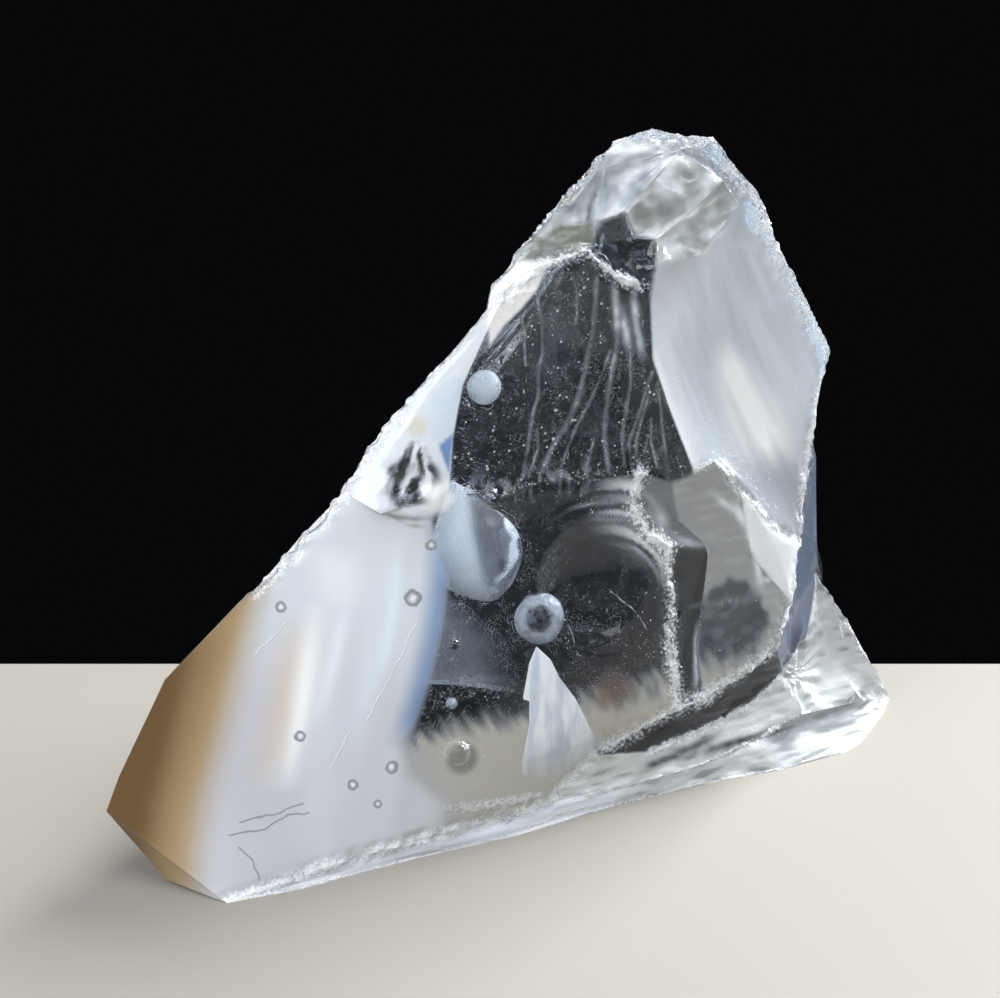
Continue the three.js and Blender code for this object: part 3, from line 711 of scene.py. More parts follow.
def spread_to_edges(values, face_of, triangles):
    """Points on edges and corners take the mean of the face points beside them."""
    columns = values.reshape(len(values), -1)
    count = np.zeros(len(values))
    total = np.zeros_like(columns)
    for here, there in ((0, 1), (1, 2), (2, 0), (1, 0), (2, 1), (0, 2)):
        pairs = triangles[face_of[triangles[:, there]] >= 0]
        count += np.bincount(pairs[:, here], minlength=len(values))
        for i in range(columns.shape[1]):
            total[:, i] += np.bincount(pairs[:, here], columns[pairs[:, there], i], len(values))
    edge = (face_of < 0) & (count > 0)
    columns[edge] = total[edge] / count[edge, None]


class Looks:
    """What the skin looks like at each of its points: milk, how cloudy the glass is, and tint,
    the cloud's colour."""

    def __init__(self, points, face_of):
        self.points = points
        self.face_of = face_of
        self.milk = np.full(len(points), BASE_MILK)
        self.tint = np.tile(linear(BASE_COLOUR)[:3], (len(points), 1))

    def on(self, names):
        """Which points lie inside the named faces."""
        return on_faces(self.face_of, names)

    def paint(self, weight, colour, cloud=None):
        """The tint, and where a cloud is given the milk, move to it by the weight's share."""
        self.tint += weight[:, None] * (np.array(linear(colour)[:3]) - self.tint)
        if cloud is not None:
            self.milk += weight * (cloud - self.milk)


def fuzz_of(points):
    """The noise, half a millimetre in size, that breaks up drawn lines."""
    return noise(points, 0.5, 25)


def putty_view_edge(points):
    """How far the beige veil's upper edge wanders, a painted view of lit putty seen through the glass:
    slanted brush strokes on slow waves.
    """
    slanted = points + np.outer(points[:, 2], (0.5, 0, -0.75))
    return 1.6 * (noise(slanted, 0.35, 18) - 0.5) + 1.2 * (noise(points, 2.5, 33) - 0.5)


def paint_top(looks):
    """Cloudy swirls in the broken faces round the top."""
    points = looks.points
    top = looks.on("crown brow flake cheek pale stripes olive")
    swirl = noise(points, 1.7, 21) * 0.6 + noise(points, 0.8, 22) * 0.4
    looks.paint(top * smooth(swirl, 0.5, 0.7) * 0.7, "#E3EAEF", 0.88)
    looks.paint(top * smooth(-swirl, -0.42, -0.25) * 0.4, "#A2A8A8", 0.35)


def paint_low_faces(looks):
    """Long bright and dark lines in the wedge and shelves, and the wedge's white tip. Returns
    where those faces are and the lines' noise."""
    points = looks.points
    broken = stretched(points, LAYER_LINES, 0.95)
    lines = (noise(broken, 0.3, 19) * 0.5 + noise(broken, 0.8, 30) * 0.2
             + noise(points, 1.8, 23) * 0.3)
    low = looks.on("wedge hem_tip hem_right shelf_left shelf_right hem_middle")
    looks.paint(low * smooth(lines, 0.5, 0.66) * 0.85, "#EDF2F5", 0.9)
    looks.paint(low * smooth(-lines, -0.4, -0.3) * 0.5, "#8D9398", 0.4)
    looks.paint(near(points, CORNERS["wedge_b"], 0.6, 2.8) * 0.6, "#F0F3F4", 0.9)
    return low, lines


def paint_clear_face(looks):
    """The clear front: a beige veil along its foot, a painted view of lit putty seen through the
    glass, and pale strokes in arcs round ARC_CENTRE where it nears the step."""
    points = looks.points
    x, _, z = points.T
    clear = looks.on("milk_face")
    # the beige veil is a painted view of lit putty seen through the glass
    looks.paint(smooth(-z + putty_view_edge(points), -10.4, -7.6) * clear, "#D3D1C7", 0.66)
    radius = np.linalg.norm(points - ARC_CENTRE, axis=1)
    turn = np.arctan2(z - ARC_CENTRE[2], x - ARC_CENTRE[0])
    strokes = noise(np.stack([radius / 0.3, turn * 1.3, 0 * x], axis=1), 1, 15)
    step = path_distance(points, corner_path("step_top step:abc"))
    fan = clear * smooth(-step, -4.2, -0.3) * smooth(radius, 3.2, 5.5)
    looks.paint(fan * (0.12 + 0.88 * smooth(strokes, 0.25, 0.75)), "#E4E8EA", 0.85)


def paint_flat(looks):
    """The flat behind the step: milky, but for a dark oval that is scuffed and ragged."""
    points = looks.points
    z = points[:, 2]
    flat = looks.on("flat")
    oval = np.array((3.4, 9, 3.6))
    shade = np.linalg.norm(points / oval - np.array((15.2, 0, 11.5)) / oval, axis=1)
    shade = smooth(-shade + 0.3 * (noise(points, 0.9, 34) - 0.5), -1.05, -0.85)
    looks.paint(flat * (1 - 0.8 * shade), "#BCBFBE", 0.6)
    brushed = noise(points * (0.4, 0.4, 2.2), 0.9, 31)
    looks.paint(flat * smooth(brushed, 0.5, 0.8) * 0.35, "#E2E6E6")
    scuffs = noise(points * (0.5, 0.5, 1.6), 0.4, 24)
    looks.paint(flat * shade * smooth(scuffs, 0.5, 0.85) * 0.6, "#AAB2BE", 0.4)
    # the painted view of lit putty seen through the glass reaches the flat's foot too
    looks.paint(flat * smooth(-z + putty_view_edge(points), -9.8, -8) * 0.9, "#C9C9C3", 0.68)


def paint_scoop(looks):
    """The scoop: soft veils, long threads along its flow, greyer up on the left and along its
    foot, and one bright streak that widens downwards."""
    points = looks.points
    x, _, z = points.T
    scoop = looks.on("scoop")
    veil = noise(points * (1, 1, 0.35), 2.2, 11)
    threads = stretched(points, SCOOP_FLOW, 0.9)
    threads = noise(threads, 0.5, 32) * 0.6 + noise(threads, 1.4, 35) * 0.4
    looks.paint(scoop * (0.35 + 0.5 * veil), "#DFE9F1")
    looks.paint(scoop * smooth(threads, 0.45, 0.7) * 0.35, "#F0F5F9")
    looks.paint(scoop * smooth(-threads, -0.5, -0.3) * 0.18, "#B9C1CB")
    looks.paint(scoop * smooth(z + 1.1 * (9 - x), 31, 38) * (0.4 + 0.4 * veil), "#B6BAC1", 0.72)
    looks.paint(scoop * smooth(-z, -26.5, -21.5) * 0.75, "#ABB2BC")
    streak = path_distance(points, SCOOP_STREAK)
    along = smooth(z, 21, 25) * smooth(-z, -33, -29)
    bell = np.exp(-(streak / (1.1 + 0.11 * (33 - z))) ** 2)
    looks.paint(np.minimum(1, along * scoop * bell * (0.45 + 1.3 * threads)), "#FEFFFF", 0.98)
    seam = path_distance(points, corner_path("seam:cd cleft_a"))
    looks.paint(0.8 * scoop * np.exp(-(seam / (0.5 + 0.6 * fuzz_of(points))) ** 2), "#ECEEF0", 0.9)


def paint_milky_body(looks):
    """The milk left of MILK_EDGE, blue along that edge, amber beyond AMBER_EDGE, painted for the light
    that shines through the long milk, with streaks along its flow. Returns how far each point is in
    it."""
    points = looks.points
    x, _, z = points.T
    edge_x = np.interp(z, *MILK_EDGE)
    softness = 0.4 + 1.8 * smooth(-z, -10, -6)
    left = smooth(edge_x - x, -softness, softness)
    left *= ~looks.on("window edge_strip glint olive")
    left *= 1 - smooth(z, 14, 20) * looks.on(" ".join(BACK_FACES))
    left *= 1 - smooth(loop_distance(points, DROP_OUTLINE), -0.15, 0.3)
    looks.milk = np.maximum(looks.milk, 0.93 * left)
    looks.paint(left, "#C5C7CD")
    looks.paint(left * smooth(z, 11, 20) * 0.8, "#D9E3EA")
    flow = stretched(points, FLOW, 0.93)
    looks.paint(left * smooth(x, -18, -13) * 0.6 * noise(flow, 1.3, 12), "#E0E4EA")
    blue_edge = left * (1 - smooth(edge_x - x, 0, 2.2)) * smooth(z, 7, 10.5)
    looks.paint(0.9 * blue_edge, "#7FA0CC")
    looks.milk -= 0.2 * blue_edge
    # the amber end and its amber streak are painted light, shining through the long milk
    amber_x = np.interp(z, *AMBER_EDGE) + 0.8 * (noise(flow, 2, 13) - 0.5)
    looks.paint(smooth(amber_x - x, -2.2, 1.2) * left, "#AE9670")
    looks.paint(smooth(amber_x - x, -0.2, 4) * left * (1 - 0.6 * smooth(z, 14, 19)), "#6C563B")
    looks.paint(0.75 * streak_strength(points, AMBER_STREAK, 1.3) * left, "#D3B590")
    wisps = 0.55 + 0.45 * noise(flow, 0.8, 14)
    for path, half_width, strength, colour in BLUE_STREAKS:
        looks.paint(strength * left * streak_strength(points, path, half_width) * wisps, colour)
    return left


def paint_left_edge(looks):
    """Small patches at the left edge, among them a painted glint and a painted highlight at the drop's
    neck, and the pit below the cream spot, whose glassy creases fan out from that spot."""
    points = looks.points
    left_edge = looks.on("edge_strip milk_face")
    looks.paint(smooth(loop_distance(points, MILKY_BLOB), -0.1, 0.15) * left_edge, "#D3DFEC", 0.92)
    looks.paint(smooth(loop_distance(points, BLUE_CORNER), -0.1, 0.2) * left_edge, "#7D9FD0", 0.8)
    looks.paint(0.85 * near(points, CREAM_SPOT, 0.45, 1.05), "#DEDBCE", 0.85)
    patchy = noise(points, 0.9, 26)
    pit = np.linalg.norm(points - PIT, axis=1) + 1.1 * (patchy - 0.5)
    looks.paint(smooth(-pit, -2.7, -1.9) * left_edge, "#9BA1AA", 0.06)
    from_top = points - CREAM_SPOT
    length = np.linalg.norm(from_top, axis=1)
    around = np.arctan2(from_top[:, 0], -from_top[:, 2])
    funnel = smooth(around, -0.6, -0.35) * smooth(-around, -0.48, -0.32)
    funnel *= smooth(length, 1, 1.5) * smooth(-length, -5.4, -4.6) * left_edge
    creases = noise(np.stack([around * 9, length / 2.2, 0 * length], axis=1), 1, 27)
    creases = creases * 0.7 + 0.3 * noise(points, 0.45, 36)
    looks.paint(funnel * smooth(-creases, -0.55, -0.4), "#8F959D", 0.1)
    looks.paint(funnel * smooth(creases, 0.52, 0.66), "#E9EEF5", 0.85)
    # a painted highlight, white, at the tear-shaped bubble's neck
    looks.paint(near(points, NECK_HIGHLIGHT, 0.7, 1.7) * (0.6 + 0.4 * patchy), "#FFFFFF", 0.95)
    # a painted glint: white where the flat break over the window shines with the light
    bright = smooth(loop_distance(points, PAINTED_GLINT), -0.15, 0.2)
    looks.paint(bright * looks.on("window glint edge_strip olive"), "#FFFFFF", 0.95)


def paint_lines(looks):
    """A rust spot, the clear view of the bubble in the beige veil, which is a painted view of lit
    putty seen through the glass, and the drawn lines, mostly painted light and shade, each a bell
    across its path that fades towards the path's ends."""
    points = looks.points
    looks.paint(0.6 * near(points, RUST_SPOT, 0.4, 2.2), "#B07B50", 0.3)
    clear_view = near(points, VEILED_BUBBLE, 1.8, 2.2) * looks.on("milk_face")
    looks.paint(0.7 * clear_view, "#C8C8C0", 0.2)
    fuzz = fuzz_of(points)
    for path, half_width, colour, cloud in DRAWN_LINES:
        bell = np.exp(-(path_distance(points, path) / half_width) ** 2)
        end = np.minimum(*(np.linalg.norm(points - path[i], axis=1) for i in (0, -1)))
        bell *= 0.25 + 0.75 * smooth(end, 0, 1.3)
        looks.paint(bell * (0.5 + 0.5 * fuzz) * (points[:, 2] > 0.1), colour, cloud)


def looks_of(points, triangles, face_of, grains, hackle):
    """For each point of the skin: milk and tint, as in Looks; frost, how white its grains are;
    dust, how specked; fleck, the distance in from the fleck's edge; and step, how much of a
    hackle's pale line lies on it."""
    looks = Looks(points, face_of)
    for names, colour, cloud in FACE_LOOKS:
        looks.paint(looks.on(names) * 1.0, colour, cloud)
    paint_top(looks)
    low, lines = paint_low_faces(looks)
    paint_clear_face(looks)
    paint_flat(looks)
    paint_scoop(looks)
    left = paint_milky_body(looks)
    paint_left_edge(looks)
    paint_lines(looks)

    frost = np.maximum(grains, low * 0.55 * smooth(lines, 0.55, 0.75))
    seam = path_distance(points, CRUSHED_SEAM)
    frost = np.maximum(frost, 0.85 * smooth(-seam, -0.8, -0.1))
    frost *= 1 - 0.6 * left * (grains < 0.05)

    dust = 0.3 * (1 - left)
    clear = looks.on("milk_face")
    dust[clear] = 0.75 * (1 - left[clear])
    dust[looks.on("window")] = 1.35
    dust[looks.on(" ".join(BACK_FACES))] = 0
    fleck = np.where(clear, loop_distance(points, FLECK), -2)
    step = hackle * (0.4 + 0.8 * noise(points, 1.2, 28))
    fringe = path_distance(points, corner_path("fringe:abcd"))
    hairs = smooth(noise(points * (1, 1, 0.25), 0.3, 29), 0.5, 0.75)
    step = np.maximum(step, 0.9 * hairs * np.exp(-(fringe / 1.1) ** 2) * (points[:, 0] > -3))
    for values in (looks.milk, looks.tint, dust):
        spread_to_edges(values, face_of, triangles)
    return {"milk": looks.milk, "frost": frost, "dust": dust, "tint": looks.tint,
            "fleck": np.maximum(fleck, -2), "step": step}


def round_wall(middle, radius, rings=20, sides=32):
    """A sphere's wall on a grid of (height, turn), facing inward, with a single point at
    each pole."""
    rise = np.pi * np.arange(1, rings) / rings
    turn = 2 * np.pi * np.arange(sides) / sides
    rise, turn = np.meshgrid(rise, turn, indexing="ij")
    ball = np.stack([np.sin(rise) * np.cos(turn), np.sin(rise) * np.sin(turn), np.cos(rise)], -1)
    points = np.vstack([[[0, 0, 1]], ball.reshape(-1, 3), [[0, 0, -1]]])
    return middle + radius * points, wall_triangles(rings - 1, sides)


def wall_triangles(rows, sides):
    """Inward-facing triangles of a closed wall: a first pole, rows of sides, a last pole."""
    grid = 1 + np.arange(rows * sides).reshape(rows, sides)
    beside = np.roll(grid, -1, axis=1)
    last = rows * sides + 1
    first_fan = np.stack([np.zeros(sides, int), beside[0], grid[0]], axis=1)
    last_fan = np.stack([np.full(sides, last), grid[-1], beside[-1]], axis=1)
    a, b, c, d = grid[:-1], beside[:-1], beside[1:], grid[1:]
    body = np.concatenate([np.stack([a, b, c], -1).reshape(-1, 3),
                           np.stack([a, c, d], -1).reshape(-1, 3)])
    return np.concatenate([first_fan, body, last_fan])


def drop_wall(rows=56, sides=64):
    """A tear-shaped bubble along the line from its narrow top to its round end. Its radius is
    DROP_RADIUS times sine(pi * share^1.35)^0.75, its depth is three quarters of its width, and
    its rows lie closer at both ends: share - 0.06 * sine(2 * pi * share)."""
    top, end = np.array(DROP_TOP), np.array(DROP_END)
    axis = (end - top) / np.linalg.norm(end - top)
    wide = np.cross(axis, [0, -1, 0.3])
    wide /= np.linalg.norm(wide)
    deep = np.cross(axis, wide)
    share = np.arange(1, rows + 1) / (rows + 1)
    share = share - 0.06 * np.sin(2 * np.pi * share)
    turn = 2 * np.pi * np.arange(sides) / sides
    share, turn = np.meshgrid(share, turn, indexing="ij")
    radius = DROP_RADIUS * np.sin(np.pi * share ** 1.35) ** 0.75
    ring = np.cos(turn)[..., None] * wide + 0.75 * np.sin(turn)[..., None] * deep
    points = top + share[..., None] * (end - top) + radius[..., None] * ring
    points = np.vstack([top[None], points.reshape(-1, 3), end[None]])
    return points, wall_triangles(rows, sides)


def mesh_object(name, points, triangles, sharp_angle=35):
    """An object from points in millimetres, shaded smooth except at edges that turn by more
    than the sharp angle, in degrees."""
    mesh = bpy.data.meshes.new(name)
    mesh.from_pydata(points * MM, [], triangles)
    mesh.shade_smooth()
    mesh.set_sharp_from_angle(angle=math.radians(sharp_angle))
    obj = bpy.data.objects.new(name, mesh)
    bpy.context.scene.collection.objects.link(obj)
    return obj


def point_values(obj, name, values):
    """Writes one number for each point, which the material reads by name."""
    attribute = obj.data.attributes.new(name, "FLOAT", "POINT")
    attribute.data.foreach_set("value", np.asarray(values, np.float32))


def point_colours(obj, name, colours):
    """Writes one linear colour for each point, which the material reads by name."""
    attribute = obj.data.attributes.new(name, "FLOAT_COLOR", "POINT")
    rgba = np.hstack([colours, np.ones((len(colours), 1))])
    attribute.data.foreach_set("color", rgba.astype(np.float32).ravel())


def node(tree, kind, settings=None, **inputs):
    """A node of the kind with its settings; an input is a value or another node's socket."""
    made = tree.nodes.new("ShaderNode" + kind)
    for key, value in (settings or {}).items():
        setattr(made, key, value)
    for key, value in inputs.items():
        number = key.removeprefix("in")
        socket = made.inputs[int(number) if number.isdigit() else key.replace("_", " ")]
        if isinstance(value, bpy.types.NodeSocket):
            tree.links.new(value, socket)
        else:
            socket.default_value = value
    return made


def maths(tree, operation, first, second=0.0, third=0.0):
    """The result of the operation on numbers or sockets."""
    made = node(tree, "Math", {"operation": operation}, in0=first, in1=second, in2=third)
    return made.outputs[0]


def ramp(tree, value, low, high):
    """Smoothstep of a socket between low and high."""
    made = node(tree, "MapRange", {"interpolation_type": "SMOOTHSTEP"},
                Value=value, From_Min=low, From_Max=high)
    return made.outputs["Result"]


def blend_colours(tree, share, first, second):
    """The first colour where the share is 0, the second where it is 1."""
    made = node(tree, "Mix", {"data_type": "RGBA"}, in0=share, in6=first, in7=second)
    return made.outputs[2]


def vectors(tree, operation, first, second=(0, 0, 0), **others):
    """The outcome of the operation on vectors, which is a number for a distance or a dot
    product."""
    made = node(tree, "VectorMath", {"operation": operation}, in0=first, in1=second, **others)
    return made.outputs["Value" if operation in ("DISTANCE", "DOT_PRODUCT") else "Vector"]


def swirls(tree, place, size, detail, output="Fac"):
    """Noise from 0 to 1 with swells of about that size, in millimetres."""
    made = node(tree, "TexNoise", {}, Vector=place, Scale=1 / (size * MM), Detail=detail)
    return made.outputs[output]


def cells(tree, place, size):
    """The distance to the nearest of scattered points about that size apart, in millimetres,
    as a share of that size."""
    made = node(tree, "TexVoronoi", {"feature": "F1"}, Vector=place, Scale=1 / (size * MM))
    return made.outputs["Distance"]


def least(tree, values):
    """The least of several sockets."""
    first, *others = values
    for value in others:
        first = maths(tree, "MINIMUM", first, value)
    return first


def hairlines(tree, place, paths, half_width):
    """1 on lines a hair wide, 0 beside them, from the distance to each straight piece. Depth
    counts a quarter, because the surface under a line isn't quite flat."""
    flatten = (1, 0.25, 1)
    flat = vectors(tree, "MULTIPLY", place, flatten)
    gaps = []
    for path in paths:
        path = np.array(path) * flatten * MM
        for start, end in zip(path, path[1:]):
            way = end - start
            beside = vectors(tree, "SUBTRACT", flat, start)
            along = vectors(tree, "DOT_PRODUCT", beside, way / (way @ way))
            share = node(tree, "Clamp", {}, Value=along).outputs[0]
            reached = vectors(tree, "SCALE", way, Scale=share)
            gaps.append(vectors(tree, "DISTANCE", beside, reached))
    return ramp(tree, least(tree, gaps), half_width * MM, 0.4 * half_width * MM)


def rings(tree, place, spots):
    """The distance to the nearest spot's middle over that spot's radius."""
    return least(tree, [
        maths(tree, "DIVIDE", vectors(tree, "DISTANCE", place, np.array(middle) * MM), radius * MM)
        for middle, radius in spots])


def dust_specks(tree, place):
    """How white the dust makes each place: short curls, where a noise crosses its middle value
    inside patches of a larger noise, and round specks that grow with those patches."""
    curl = swirls(tree, place, CURL_SIZE, 0.0)
    curl = maths(tree, "ABSOLUTE", maths(tree, "SUBTRACT", curl, 0.5))
    curl = ramp(tree, curl, 0.05, 0.0)
    patch = swirls(tree, place, 0.9, 2.0)
    curl = maths(tree, "MULTIPLY", curl, ramp(tree, patch, 0.38, 0.58))
    speck = cells(tree, place, SPECK_SPACING)
    speck_size = maths(tree, "MULTIPLY_ADD", patch, 0.5, -0.14)
    specked = maths(tree, "LESS_THAN", speck, speck_size)
    return maths(tree, "MAXIMUM", maths(tree, "MULTIPLY", curl, 0.3),
                 maths(tree, "MULTIPLY", specked, 0.5))


def crooked(tree, place):
    """The places moved by up to 0.2 mm each way by a noise, so that straight lines bend."""
    bends = swirls(tree, place, 1.1, 2.0, "Color")
    moved = vectors(tree, "MULTIPLY_ADD", bends, (0.4 * MM,) * 3, in2=place)
    return vectors(tree, "SUBTRACT", moved, (0.2 * MM,) * 3)


def fleck_shares(tree, place, fleck, milk):
    """How much each place is the white fleck's, how cloudy the glass is with it, and which
    share of its paler colour it has: it is layered like a shell, and thinner towards its foot."""
    height = node(tree, "SeparateXYZ", {}, Vector=place).outputs["Z"]
    in_fleck = maths(tree, "MULTIPLY", ramp(tree, fleck, -0.03, 0.03),
                     ramp(tree, height, 2.8 * MM, 6 * MM))
    thick = maths(tree, "MULTIPLY_ADD", ramp(tree, height, 3.5 * MM, 8.5 * MM), 0.45, 0.5)
    cloudy = maths(tree, "MAXIMUM", milk, maths(tree, "MULTIPLY", in_fleck, thick))
    upright = vectors(tree, "MULTIPLY", place, (1, 0.6, 0.22))
    layered = ramp(tree, swirls(tree, upright, 0.8, 2.0), 0.35, 0.65)
    return in_fleck, cloudy, layered


def chunk_glass():
    """Slag glass, broken by hand: clear soda-lime glass with an index of 1.5, milky where it
    is full of crystals too fine to see, and white where crushed grains scatter the light."""
    material = bpy.data.materials.new("clear_glass")
    material.use_nodes = True
    tree = material.node_tree
    shader = tree.nodes["Principled BSDF"]
    place = node(tree, "TexCoord").outputs["Object"]

    def value_of(name, output="Fac"):
        """The socket that gives what the skin's points carry by that name."""
        return node(tree, "Attribute", {"attribute_name": name}).outputs[output]

    milk, frost, dust, fleck, step = (
        value_of(name) for name in ("milk", "frost", "dust", "fleck", "step"))
    tint = value_of("tint", "Color")

    # crushed grains, hackles' pale lines, dust and scratches all whiten the skin
    grain = cells(tree, place, GRAIN_SIZE)
    cloud = swirls(tree, place, 0.5, 3.0)
    grain_light = maths(tree, "ADD", grain, cloud)
    frosted = ramp(tree, maths(tree, "MULTIPLY_ADD", grain_light, -0.7, frost), -0.4, 0.35)
    lined = maths(tree, "MULTIPLY_ADD", cloud, 0.7, 0.05)
    dusty = dust_specks(tree, place)
    bent = crooked(tree, place)
    white_lines = hairlines(tree, bent, WHITE_HAIRLINES, 0.07)
    dark_lines = hairlines(tree, bent, DARK_HAIRLINES, 0.08)
    for share, strength in ((lined, step), (dusty, dust), (white_lines, lined)):
        frosted = maths(tree, "MAXIMUM", frosted, maths(tree, "MULTIPLY", share, strength))

    # the cloud's colour, with the fleck, and the small bubbles under the milk, each painted as a ring
    # of shade round a painted highlight
    in_fleck, cloudy, layered = fleck_shares(tree, place, fleck, milk)
    fleck_white = blend_colours(tree, layered, linear("#C6D3E0"), linear("#EEF4FA"))
    colour = blend_colours(tree, in_fleck, tint, fleck_white)
    away = rings(tree, place, SHALLOW_BUBBLES)
    away = maths(tree, "MULTIPLY_ADD", maths(tree, "SUBTRACT", cloud, 0.5), 0.9, away)
    # a painted dark ring of shade, then a painted bright highlight in each bubble's middle
    for outer, inner, ring_colour in ((1.3, 0.9, "#94999F"), (0.85, 0.1, "#EFF4F8")):
        colour = blend_colours(tree, ramp(tree, away, outer, inner), colour, linear(ring_colour))

    # clear glass and white grains have their own colours
    colour = blend_colours(tree, ramp(tree, cloudy, 0.0, 0.03), linear("#FBFDFF"), colour)
    colour = blend_colours(tree, frosted, colour, linear("#F4F7FA"))
    dark_share = maths(tree, "MULTIPLY", dark_lines, 0.6)
    colour = blend_colours(tree, dark_share, colour, linear("#6E6B6A"))
    tree.links.new(colour, shader.inputs["Base Color"])
    hidden = maths(tree, "MAXIMUM", cloudy, maths(tree, "MULTIPLY", frosted, 0.75))
    tree.links.new(maths(tree, "SUBTRACT", 1.0, hidden), shader.inputs["Transmission Weight"])
    roughness = maths(tree, "MULTIPLY_ADD", frosted, 0.3, 0.015)
    roughness = maths(tree, "MULTIPLY_ADD", cloudy, 0.12, roughness)
    tree.links.new(roughness, shader.inputs["Roughness"])
    bump = node(tree, "Bump", {}, Height=maths(tree, "MULTIPLY", grain_light, frosted),
                Strength=0.7, Distance=0.12 * MM)
    tree.links.new(bump.outputs["Normal"], shader.inputs["Normal"])
    shader.inputs["IOR"].default_value = GLASS_INDEX
    return material


def plain_material(name, colour, roughness):
    """A matt or glossy material of one colour, as painted board is."""
    material = bpy.data.materials.new(name)
    material.use_nodes = True
    shader = material.node_tree.nodes["Principled BSDF"]
    shader.inputs["Base Color"].default_value = linear(colour)
    shader.inputs["Roughness"].default_value = roughness
    return material


def add_floor():
    """A pale matt table whose back edge lies just behind the chunk."""
    corners = [(-300, -480), (300, -480), (300, 17.6), (-300, 17.6)]
    floor = mesh_object("floor", np.array([(x, y, 0) for x, y in corners], float),
                        np.array([(0, 1, 2), (0, 2, 3)]))
    floor.data.materials.append(plain_material("pale_table", "#99958D", 0.6))


def add_light(name, place, target, size, power):
    """A square white lamp of that size, in millimetres, that faces its target."""
    data = bpy.data.lights.new(name, "AREA")
    data.size = size * MM
    data.energy = power
    light = bpy.data.objects.new(name, data)
    light.location = Vector(place) * MM
    light.rotation_euler = (Vector(target) - Vector(place)).to_track_quat("-Z", "Y").to_euler()
    bpy.context.scene.collection.objects.link(light)


def add_room():
    """A dark room, as the glass shows it, with a soft even light that only reaches what is
    matt: the dome shines on a ray once that ray has left a scattering surface, and it shines
    brighter on what lies in the glass, from which a ray crosses the skin once on each way."""
    world = bpy.data.worlds.new("studio")
    bpy.context.scene.world = world
    world.use_nodes = True
    tree = world.node_tree
    ray = node(tree, "LightPath").outputs
    scattered = maths(tree, "GREATER_THAN", ray["Diffuse Depth"], 0.5)
    crossings = maths(tree, "ABSOLUTE", maths(tree, "SUBTRACT", ray["Transmission Depth"], 2.0))
    inside = maths(tree, "LESS_THAN", crossings, 0.5)
    dome = blend_colours(tree, inside, linear("#A9ADB5"), LIGHT_INSIDE)
    colour = blend_colours(tree, scattered, linear("#08080A"), dome)
    tree.links.new(colour, tree.nodes["Background"].inputs["Color"])


def add_camera():
    """A long lens, CAMERA_DISTANCE from its target and CAMERA_ELEVATION above it: the target's
    y less distance * cosine, and its z plus distance * sine."""
    data = bpy.data.cameras.new("camera")
    data.lens = CAMERA_LENS
    data.sensor_width = SENSOR_WIDTH
    data.clip_start = 0.01
    camera = bpy.data.objects.new("camera", data)
    x, y, z = CAMERA_TARGET
    camera.location = (
        x * MM,
        (y - CAMERA_DISTANCE * math.cos(CAMERA_ELEVATION)) * MM,
        (z + CAMERA_DISTANCE * math.sin(CAMERA_ELEVATION)) * MM)
    camera.rotation_euler = (math.pi / 2 - CAMERA_ELEVATION, 0, 0)
    bpy.context.scene.collection.objects.link(camera)
    bpy.context.scene.camera = camera


def ring_wall():
    """The large bubble's wall: a band of the sphere round the way towards the camera is cloudy, a
    painted bright ring of light reflected in the wall.
    """
    middle, radius = RING_BUBBLE
    points, triangles = round_wall(np.array(middle), radius, rings=32, sides=48)
    # the band lies where the wall is seen at a slant from the camera: a painted ring of reflected
    # light
    facing = (points - middle) @ np.array([0.02, -0.91, 0.41]) / radius
    band = smooth(facing, 0.1, 0.4) * smooth(-facing, -0.92, -0.8)
    return points, triangles, band * (0.3 + 0.5 * noise(points, 0.35, 41)), 0.5 * band


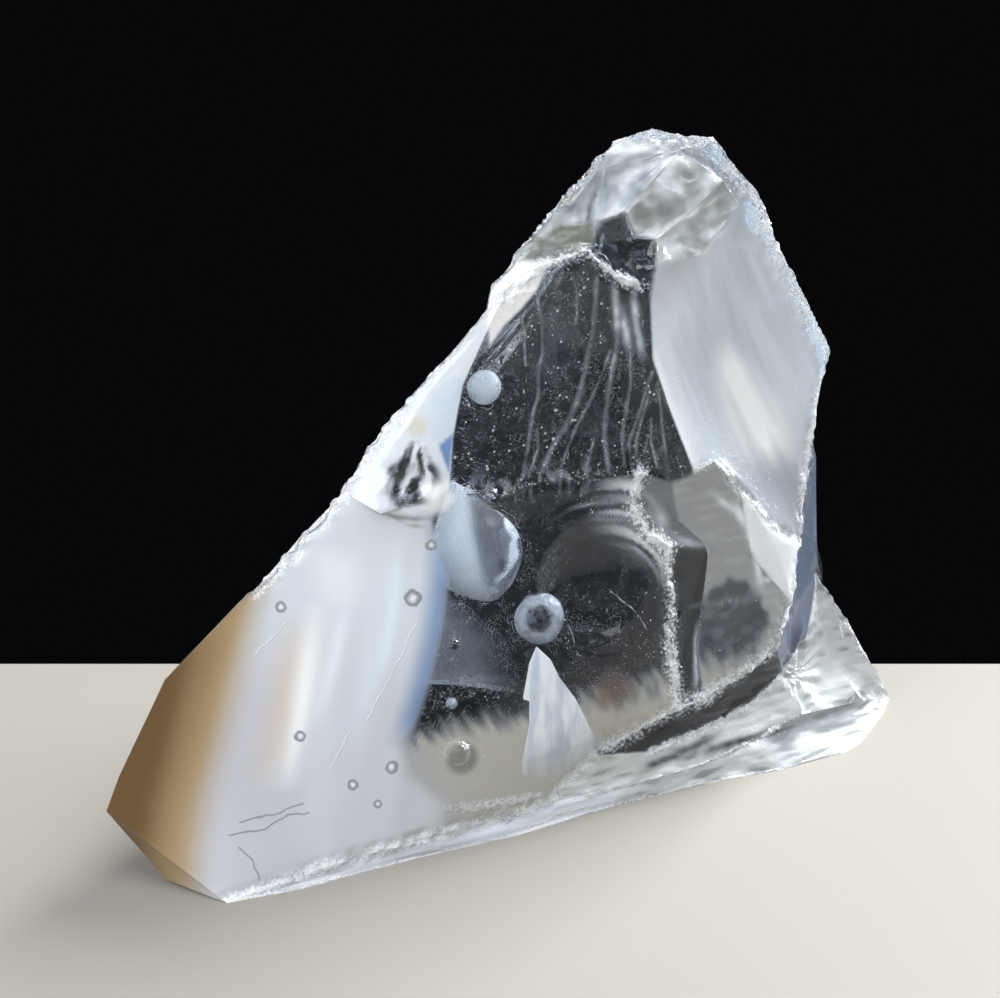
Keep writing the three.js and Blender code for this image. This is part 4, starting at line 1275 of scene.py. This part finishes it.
def lit_drop_wall():
    """The tear-shaped bubble's wall: cloudy on its left, clear on its right but for its painted
    reflections of light.
    """
    points, triangles = drop_wall()
    side = points[:, 0] - np.interp(points[:, 2], [16, 25], [-2.4, -4.2])
    cloud = 0.95 * smooth(-side, -0.5, 0.5)
    patchy = noise(points, 0.7, 42)
    shallow = (1, 0.4, 1)
    # each painted reflection is a white cloudy band on the wall's clear half
    for path, half_width, strength in DROP_PAINTED_REFLECTIONS:
        gap = path_distance(points * shallow, np.array(path) * shallow) - 1.2 * (patchy - 0.5)
        cloud = np.maximum(cloud, strength * smooth(-gap, -half_width, 0.2 - half_width))
    return points, triangles, cloud, 0.3 * cloud


def wall_looks(count, cloud, frosting):
    """What a bubble's wall looks like, under the same names as the skin's looks."""
    return {"milk": np.broadcast_to(cloud, count), "frost": np.broadcast_to(frosting, count),
            "dust": np.zeros(count), "tint": np.tile(linear("#F1F5F9")[:3], (count, 1)),
            "fleck": np.full(count, -2.0), "step": np.zeros(count)}


def add_glass():
    """The skin and the walls of the bubbles as one mesh, with what each point looks like."""
    points, triangles, face_of = plain_skin()
    moved, grains, hackle = rough_skin(points, triangles, face_of)
    looks = looks_of(points, triangles, face_of, grains, hackle)
    parts = [(moved, triangles, looks)]
    walls = [(*round_wall(np.array(middle), radius), 0.95 * frosting, 0.4 * frosting)
             for middle, radius, frosting in BUBBLES]
    for points, triangles, cloud, frosting in [*walls, ring_wall(), lit_drop_wall()]:
        parts.append((points, triangles, wall_looks(len(points), cloud, frosting)))

    first = np.cumsum([0] + [len(part[0]) for part in parts[:-1]])
    all_points = np.concatenate([part[0] for part in parts])
    all_triangles = np.concatenate([part[1] + start for part, start in zip(parts, first)])
    glass = mesh_object("glass_chunk_skin", all_points, all_triangles, sharp_angle=24)
    for name in looks:
        values = np.concatenate([part[2][name] for part in parts])
        (point_colours if name == "tint" else point_values)(glass, name, values)
    glass.data.materials.append(chunk_glass())
    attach(glass, "root")
    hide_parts("glass_chunk")


add_camera()
add_floor()
add_glass()
add_light("key", (150, 150, 210), (0, 0, 20), 110, 1.3)
add_light("fill", (-190, -150, 170), (0, 0, 15), 170, 0.5)
add_light("far_right", (235, 130, 70), (0, 0, 20), 80, 0.5)
add_light("overhead", (40, -60, 260), (0, 0, 10), 200, 0.3)
add_room()
bpy.context.scene.view_settings.view_transform = "Standard"
